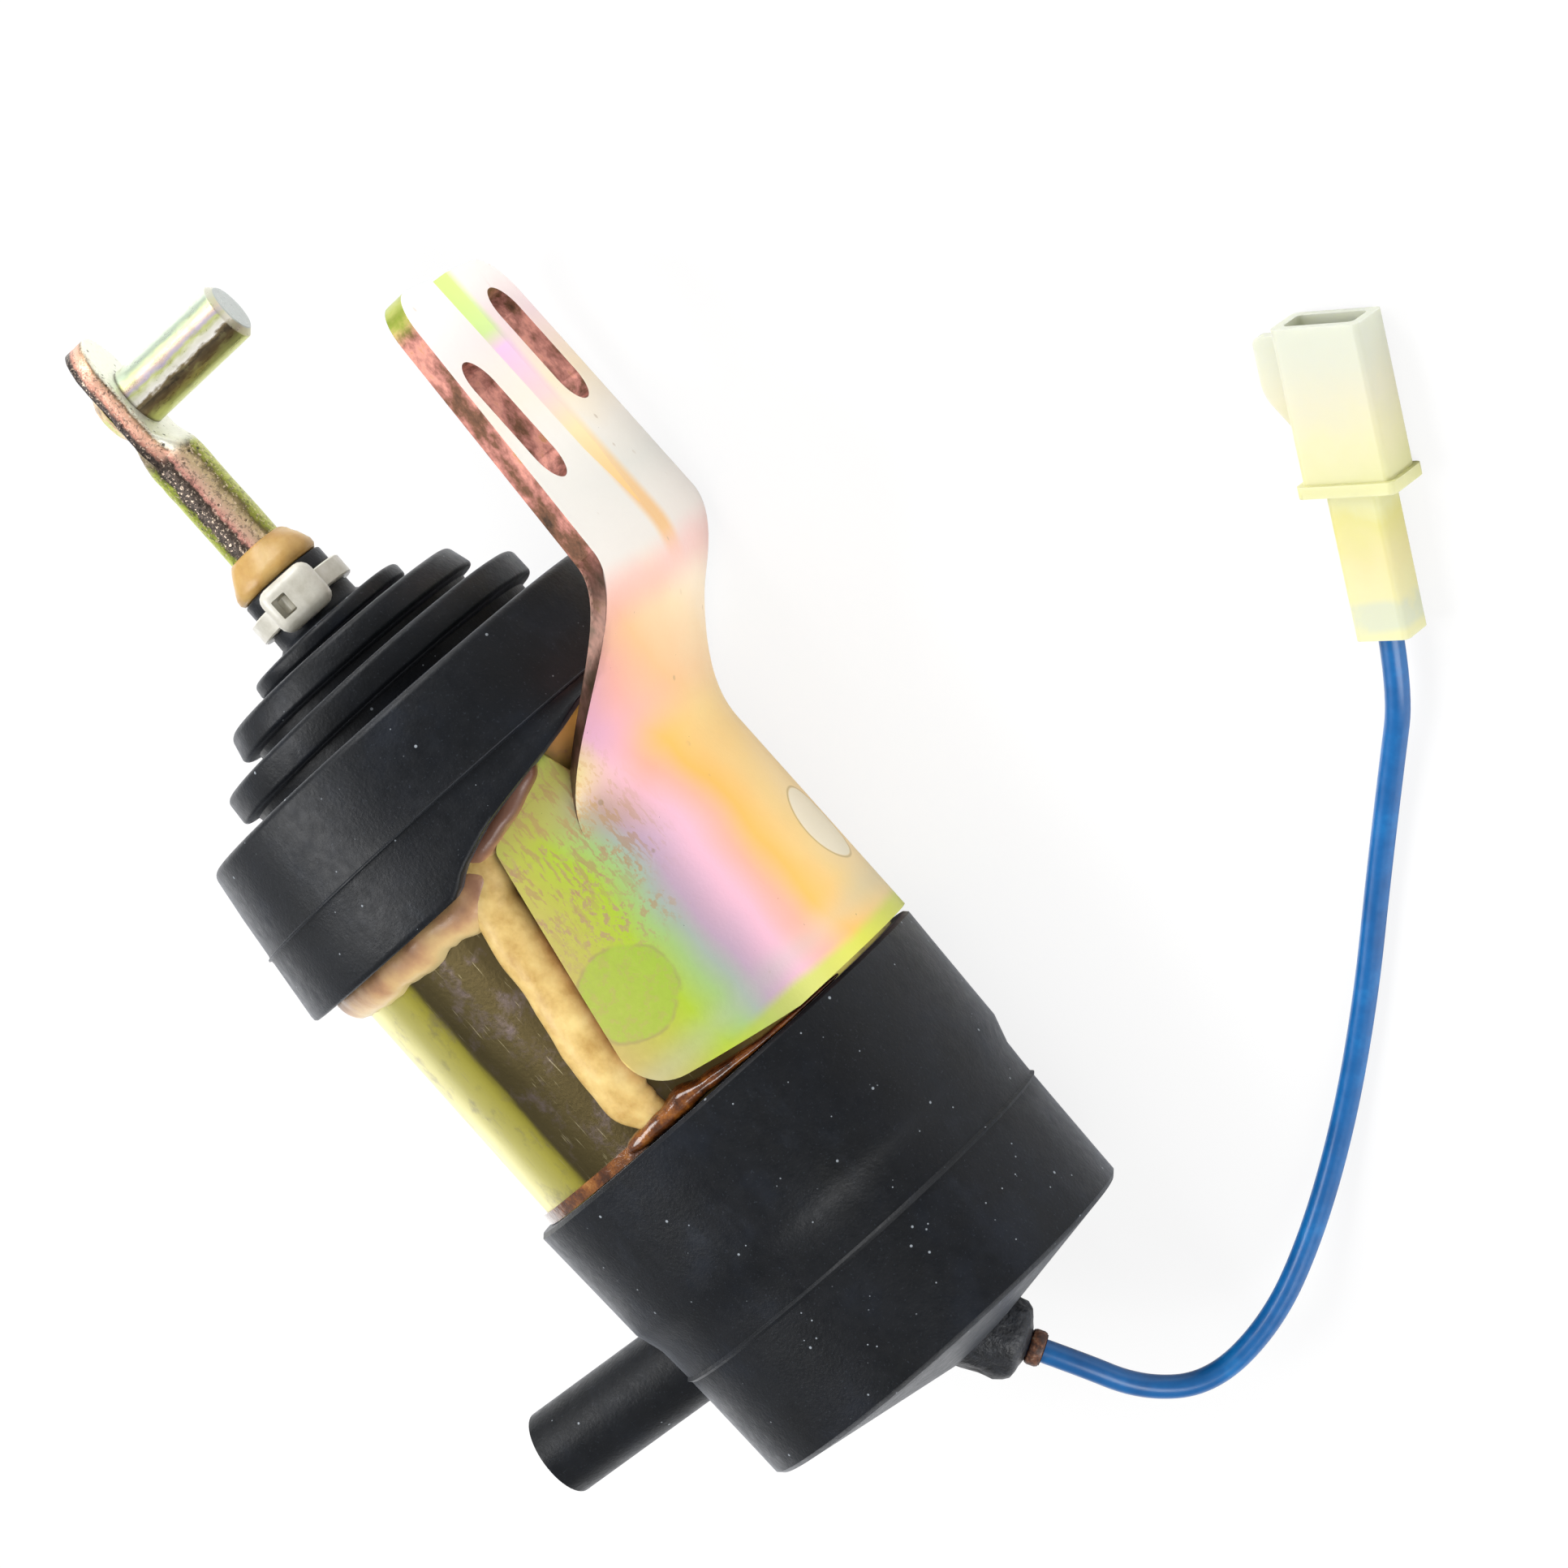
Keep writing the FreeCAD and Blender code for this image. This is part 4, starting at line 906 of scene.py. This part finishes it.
def bead(name, slot, replaced, wobble, rows):
    """Run of sealant on the can: rows of (x, degrees round the axis, width, height)."""
    flat = [(x, math.radians(degrees) * CAN_RADIUS, width, height)
            for x, degrees, width, height in rows]
    path = smoothed(flat, BEAD_STEPS)
    points = []
    for i, (x, s, width, height) in enumerate(path):
        before, after = path[max(i - 1, 0)], path[min(i + 1, len(path) - 1)]
        run = Vector((after[0] - before[0], after[1] - before[1])).normalized()
        side = Vector((-run.y, run.x))
        for j in range(2 * BEAD_ACROSS):
            top = j < BEAD_ACROSS
            t = (j if top else 2 * BEAD_ACROSS - 1 - j) / (BEAD_ACROSS - 1) * 2 - 1
            ragged = noise.noise(Vector((i * 0.21, 3.0 * (t > 0), width)))
            place = Vector((x, s)) + side * (width / 2 * t * (1 + wobble * ragged))
            rise = height * (1 - abs(t) ** 2.4) ** 0.62 + BEAD_LIFT if top else -BEAD_SINK
            rise *= 1 + wobble * noise.noise(Vector((place.x * 0.35, place.y * 0.35, 7.0)))
            degrees = math.degrees(place.y / CAN_RADIUS)
            points.append(polar(place.x, CAN_RADIUS + rise, degrees))
    finished(tube(name, points, 2 * BEAD_ACROSS), slot, "housing", *replaced, sharp=60.0)


# Name, slot, replaced nodes, wobble and rows of each bead.
BEADS = (
    ("bracket_bead", "sealant", ("bracket_sealant",), 0.12, (
        (10.0, 77.0, 0.8, 0.4), (10.9, 77.6, 4.0, 1.7), (12.8, 78.6, 5.6, 2.2),
        (16.0, 81.6, 5.7, 1.9), (20.0, 83.8, 5.4, 1.6), (26.0, 86.0, 5.2, 1.5),
        (32.0, 88.2, 5.4, 1.6), (36.5, 89.8, 5.6, 1.6), (40.0, 90.3, 5.4, 1.4),
        (42.3, 88.0, 4.4, 1.1), (43.4, 85.0, 2.4, 0.7), (43.8, 82.0, 0.8, 0.3))),
    ("shoulder_bead", "stained_sealant", (), 0.14, (
        (8.4, 50.0, 0.5, 0.3), (9.4, 55.0, 2.6, 3.2), (10.4, 61.0, 3.4, 3.4),
        (11.2, 67.0, 3.6, 3.2), (11.8, 73.0, 3.6, 2.9), (12.0, 78.0, 4.4, 2.4),
        (12.2, 81.5, 2.6, 1.6), (12.3, 83.5, 0.6, 0.4))),
    ("lip_bead", "stained_sealant", (), 0.16, (
        (12.6, 77.0, 0.8, 0.5), (13.6, 80.0, 4.6, 2.2), (15.2, 86.0, 5.2, 1.9),
        (15.5, 92.0, 5.0, 1.7), (15.2, 98.0, 4.4, 1.7), (15.4, 106.0, 5.0, 1.8),
        (15.1, 116.0, 4.6, 1.7), (15.0, 128.0, 5.0, 1.8), (14.7, 140.0, 4.6, 1.7),
        (14.4, 152.0, 4.8, 1.8), (14.1, 166.0, 4.2, 1.8), (13.8, 180.0, 3.6, 1.7),
        (13.4, 192.0, 2.0, 1.1), (13.2, 196.0, 0.5, 0.3))),
    ("rim_seep", "adhesive", (), 0.25, (
        (44.1, 100.0, 0.5, 0.3), (44.0, 96.0, 1.8, 1.2), (43.9, 88.0, 2.2, 1.6),
        (43.7, 80.0, 2.6, 1.8), (44.0, 72.0, 1.8, 1.8), (44.4, 62.0, 1.2, 1.8),
        (44.7, 50.0, 0.8, 1.6), (44.8, 36.0, 0.6, 1.2), (44.8, 28.0, 0.3, 0.4))),
)


def make_sealants():
    for row in BEADS:
        bead(*row)


# Rim of the bracket's corner on the can: (x, degrees round the axis).
WEB_OUTLINE = ((9.0, 50.0), (9.6, 57.0), (10.8, 63.0), (12.2, 69.0), (13.4, 72.3),
               (15.0, 72.0), (17.0, 60.0), (15.0, 46.0))
WEB_CENTRE = (13.6, 60.0)
WEB_RINGS = 5
WEB_SPLIT = 4
WEB_TOP, WEB_BOTTOM = 2.27, 0.02


def make_web():
    """Corner of the bracket's sheet between the saddle and the neck."""
    ends = WEB_OUTLINE[1:] + WEB_OUTLINE[:1]
    rim = [tuple(a + (b - a) * i / WEB_SPLIT for a, b in zip(p, q))
           for p, q in zip(WEB_OUTLINE, ends) for i in range(WEB_SPLIT)]
    count = len(rim)
    middle_x, middle_degrees = WEB_CENTRE
    points, faces = [], []
    for level in (WEB_TOP, WEB_BOTTOM):
        for k in range(1, WEB_RINGS + 1):
            share = k / WEB_RINGS
            for x, degrees in rim:
                points.append(polar(middle_x + (x - middle_x) * share, CAN_RADIUS + level,
                                    middle_degrees + (degrees - middle_degrees) * share))
        points.append(polar(middle_x, CAN_RADIUS + level, middle_degrees))
    block = WEB_RINGS * count + 1
    for base in (0, block):
        faces += [(base + i, base + (i + 1) % count, base + block - 1) for i in range(count)]
        for k in range(WEB_RINGS - 1):
            start = base + k * count
            faces += ring_faces(start, start + count, count)
    edge = (WEB_RINGS - 1) * count
    faces += ring_faces(edge, block + edge, count)
    web = mesh_object("bracket_web", points, faces)
    crisp(web)
    bevel = web.modifiers.new("bevel", "BEVEL")
    bevel.width = 0.25 * MM
    bevel.segments = 2
    bevel.angle_limit = math.radians(50)
    apply_modifiers(web)
    finished(web, "bracket_plating", "housing", sharp=50.0)


LUMP_STEPS = 56
LUMP_DEPTH = 0.45


def lump(name, start, direction, profile, size, slot, node):
    """Lumpy solid about an axis: rows of (distance along it, radius, share of the noise)."""
    side = direction.orthogonal().normalized()
    other = direction.cross(side)
    points = []
    for i in range(LUMP_STEPS):
        angle = 2 * math.pi * i / LUMP_STEPS
        out = side * math.cos(angle) + other * math.sin(angle)
        for reach, radius, loose in profile:
            place = start + (direction * reach + out * radius) * MM
            grow = noise.noise(place / (size * MM)) + 0.5 * noise.noise(place / (0.45 * size * MM))
            points.append(place + out * (grow * LUMP_DEPTH * loose * MM))
    finished(turned(name, points, len(profile)), slot, body_of(node), node, sharp=60.0)


ROD_LUMP = (
    (-22.65, 3.08, 0), (-22.65, 4.3, 0.3), (-22.75, 4.7, 1), (-23.1, 4.95, 1), (-23.7, 5.0, 1),
    (-24.4, 4.8, 1), (-25.1, 4.5, 1), (-25.7, 4.1, 1), (-26.2, 3.7, 1), (-26.5, 3.4, 0.8),
    (-26.7, 3.2, 0.3), (-26.7, 3.06, 0),
)
SEAL_LUMP = (
    (-2.2, 1.27, 0), (-2.2, 4.3, 0), (-0.6, 4.5, 0.4), (1.0, 4.45, 0.8), (2.8, 4.35, 1),
    (4.4, 4.3, 1), (5.4, 4.2, 1), (6.0, 3.8, 0.8), (6.3, 3.1, 0.6), (6.45, 2.5, 0.5),
    (6.7, 1.9, 0.2), (6.7, 1.27, 0),
)
SEAL_PLACE = (80.5, 1.4, 0)
SEAL_AXIS = (0.8746, 0.4556, -0.1658)


def make_lumps():
    lump("rod_lump", at(0, 0, 0), along(1, 0, 0), ROD_LUMP, 4.0, "sealant", "rod_sealant")
    lump("seal_lump", at(*SEAL_PLACE), along(*SEAL_AXIS), SEAL_LUMP, 2.2, "black_sealant",
         "lead_seal")


# Cable tie

TIE_X = -19.6
TIE_DEGREES = 70.0
HEAD_LEVEL, WINDOW_LEVEL, PAWL_LEVEL = 7.1, 8.6, 7.6
HEAD_SIZE = (6.4, 5.2, 3.9)
WINDOW_SIZE = (1.7, 2.2, 3.4)
PAWL_SIZE = (0.7, 1.7, 1.5)
# Half the band's outline, from its middle: (distance along the axis, radius).
BAND_OUTLINE = ((1.15, 4.75), (1.15, 5.6), (1.0, 5.75))
BAND_STEPS = 72


def rounded_block(name, centre, axes, size, radius, segments):
    """Box with rounded edges: axes are its directions and size its lengths in millimetres."""
    work = bmesh.new()
    bmesh.ops.create_cube(work, size=1.0)
    for vertex in work.verts:
        vertex.co = Vector([c * length * MM for c, length in zip(vertex.co, size)])
    bmesh.ops.bevel(work, geom=list(work.edges), offset=radius * MM, segments=segments,
                    profile=0.5, affect="EDGES", clamp_overlap=True)
    turn = Matrix(axes).transposed()
    for vertex in work.verts:
        vertex.co = centre + turn @ vertex.co
    mesh = bpy.data.meshes.new(name)
    work.to_mesh(mesh)
    work.free()
    for polygon in mesh.polygons:
        polygon.use_smooth = True
    return add_object(name, mesh)


def cut_out(obj, cutter):
    """Takes one closed mesh away from another, and removes it."""
    cut = obj.modifiers.new("cut", "BOOLEAN")
    cut.object = cutter
    cut.operation = "DIFFERENCE"
    cut.solver = "EXACT"
    apply_modifiers(obj)
    bpy.data.objects.remove(cutter)


def make_tie():
    """The cable tie: its head with a window, the pawl in the window, and the band."""
    angle = math.radians(TIE_DEGREES)
    out = along(0, math.cos(angle), math.sin(angle))
    tangent = along(0, -math.sin(angle), math.cos(angle))
    axis = along(1, 0, 0)
    body = body_of("cable_tie")
    head = rounded_block("tie_head", polar(TIE_X, HEAD_LEVEL, TIE_DEGREES), (tangent, axis, out),
                         HEAD_SIZE, 1.25, 4)
    place = polar(TIE_X, WINDOW_LEVEL, TIE_DEGREES) + tangent * (1.35 * MM)
    cut_out(head, rounded_block("window", place, (tangent, axis, out), WINDOW_SIZE, 0.15, 2))
    finished(head, "tie_nylon", body, "cable_tie", sharp=40.0)
    place = polar(TIE_X, PAWL_LEVEL, TIE_DEGREES) + tangent * (1.1 * MM)
    leaning = (tangent + out * 0.5).normalized(), axis, (out - tangent * 0.5).normalized()
    finished(rounded_block("tie_pawl", place, leaning, PAWL_SIZE, 0.12, 2), "tie_nylon", body)
    profile = [(TIE_X - half, radius) for half, radius in BAND_OUTLINE]
    profile += [(TIE_X + half, radius) for half, radius in reversed(BAND_OUTLINE)]
    finished(lathe("tie_band", profile, BAND_STEPS), "tie_nylon", body, sharp=40.0)


# Rod with its forged eye

FORGE_END, FORGE_LENGTH = -42.4, 4.0
EYE_SQUARE, ROUND = 7.0, 2.0
TIP_HALF_WIDTH = 0.12
TIP_STEPS, NECK_STEPS = 14, 29
SHANK_STATIONS = [-34.0, -30.0, -26.0, -10.0, 5.0, 19.8]
ROUGH_END = -27.0
ROD_AROUND = 48


def rod_section(x):
    """Half width, half thickness and squareness: round, then forged flat into a tongue."""
    t = min(1.0, max(0.0, (x - FORGE_END) / FORGE_LENGTH))
    t = t * t * (3 - 2 * t)
    width = EYE_HALF_WIDTH * (1 - t) + ROD_RADIUS * t
    past = EYE_TIP + EYE_HALF_WIDTH - x
    if past > 0:
        width = math.sqrt(max(EYE_HALF_WIDTH ** 2 - past ** 2, 0.0))
    thick = EYE_HALF_THICKNESS * (1 - t) + ROD_RADIUS * t
    return max(width, TIP_HALF_WIDTH), thick, EYE_SQUARE * (1 - t) + ROUND * t


def make_rod():
    """The rod from the tip of its eye to its end inside the core."""
    bend = EYE_TIP + EYE_HALF_WIDTH
    stations = [bend - EYE_HALF_WIDTH * math.cos(math.radians(3 + i * 87 / TIP_STEPS))
                for i in range(TIP_STEPS + 1)]
    stations += [bend + 0.5 * i for i in range(1, NECK_STEPS + 1)] + SHANK_STATIONS
    points = []
    for x in stations:
        width, thick, square = rod_section(x)
        for k in range(ROD_AROUND):
            a = 2 * math.pi * k / ROD_AROUND
            z = width * math.copysign(abs(math.cos(a)) ** (2 / square), math.cos(a))
            y = thick * math.copysign(abs(math.sin(a)) ** (2 / square), math.sin(a))
            if x < ROUGH_END:
                rough = 1 + 0.02 * noise.noise(Vector((x * 0.8, z * 0.8, y * 0.8)))
                y, z = y * rough, z * rough
            points.append(at(x, y * math.cos(EYE_ROLL) - z * math.sin(EYE_ROLL),
                             y * math.sin(EYE_ROLL) + z * math.cos(EYE_ROLL)))
    finished(tube("rod", points, ROD_AROUND), "rod_plating", body_of("plunger_rod"),
             "plunger_rod", sharp=42.0)


SPRING_ENDS = (23.5, 42.0)
SPRING_RADIUS = 3.6
SPRING_WIRE = 0.44
SPRING_TURNS = 7
SPRING_STEPS = 22
WIRE_AROUND = 10
END_PITCH = 0.94


def make_spring():
    """Return spring with a closed coil at each end."""
    first, last = SPRING_ENDS
    active = SPRING_TURNS - 2.0
    pitch = (last - first - 2 * END_PITCH) / active
    points = []
    for i in range(SPRING_TURNS * SPRING_STEPS + 1):
        turn = i / SPRING_STEPS
        x = first + END_PITCH * min(turn, 1.0) + pitch * min(max(turn - 1.0, 0.0), active)
        x += END_PITCH * max(turn - SPRING_TURNS + 1.0, 0.0)
        angle = 2 * math.pi * turn
        for k in range(WIRE_AROUND):
            a = 2 * math.pi * k / WIRE_AROUND
            radius = SPRING_RADIUS + SPRING_WIRE * math.cos(a)
            points.append(at(x + SPRING_WIRE * math.sin(a), radius * math.cos(angle),
                             radius * math.sin(angle)))
    spring = tube("spring", points, WIRE_AROUND)
    crisp(spring)
    finished(spring, "bare_steel", None, "return_spring")
    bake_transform(spring)


make_rod()
make_sealants()
make_web()
make_lumps()
make_spring()
make_tie()

for node, width in (("rear_cap", 0.5), ("mounting_bracket", 0.3), ("connector_housing", 0.25),
                    ("lever_pin", 0.2), ("can", 0.2), ("lead_collar", 0.4)):
    soften(node, width)


# Studio

WHITE = (1.0, 1.0, 1.0, 1.0)
FLOOR_HALF = 3.0
FLOOR_DROP = 0.05
FLOOR_GLOW = 0.85
WORLD_LIGHT = 0.4


def make_studio():
    """White floor and surroundings, which look brighter to the camera than they light the part."""
    half = FLOOR_HALF
    floor = mesh_object("floor", ((-half, -half, 0), (half, -half, 0), (half, half, 0),
                                  (-half, half, 0)), [(0, 1, 2, 3)], smooth=False)
    floor.location.z = -FLOOR_DROP * MM
    material = bpy.data.materials.new("floor")
    material.use_nodes = True
    tree = material.node_tree
    base = tree.nodes["Principled BSDF"]
    for name, value in (("Base Color", (0.9, 0.9, 0.9, 1.0)), ("Roughness", 0.9),
                        ("Specular IOR Level", 0.0)):
        put(tree, base.inputs[name], value)
    path = new_node(tree, "ShaderNodeLightPath")
    seen = new_math(tree, "MAXIMUM", path.outputs["Is Camera Ray"],
                    path.outputs["Is Transmission Ray"])
    mixed = new_node(tree, "ShaderNodeMixShader", Fac=new_math(tree, "MULTIPLY", seen, FLOOR_GLOW))
    put(tree, mixed.inputs[1], base.outputs[0])
    put(tree, mixed.inputs[2], new_node(tree, "ShaderNodeEmission", Color=WHITE).outputs[0])
    put(tree, tree.nodes["Material Output"].inputs["Surface"], mixed.outputs[0])
    floor.data.materials.append(material)

    world = bpy.data.worlds.new("studio")
    world.use_nodes = True
    tree = world.node_tree
    background = tree.nodes["Background"]
    put(tree, background.inputs["Color"], WHITE)
    ranged = new_node(tree, "ShaderNodeMapRange")
    path = new_node(tree, "ShaderNodeLightPath")
    for index, value in ((0, path.outputs["Is Camera Ray"]), (3, WORLD_LIGHT), (4, 1.0)):
        put(tree, ranged.inputs[index], value)
    put(tree, background.inputs["Strength"], ranged.outputs[0])
    bpy.context.scene.world = world


def add_lamp(name, place, target, size, power):
    """Rectangular lamp at a place in metres, turned to a target."""
    lamp = bpy.data.lights.new(name, "AREA")
    lamp.shape = "RECTANGLE"
    lamp.size, lamp.size_y = size
    lamp.energy = power
    obj = add_object(name, lamp)
    obj.location = place
    obj.rotation_euler = (Vector(target) - Vector(place)).to_track_quat("-Z", "Y").to_euler()


make_studio()
add_lamp("key", (-0.25, -0.35, 0.75), (0.0, 0.0, 0.02), (0.5, 0.5), 6.0)
add_lamp("right", (0.75, 0.45, 0.45), (0.0, 0.02, 0.02), (0.4, 0.8), 6.0)
add_lamp("left", (-0.8, 0.2, 0.4), (0.0, 0.0, 0.02), (0.35, 0.8), 7.0)
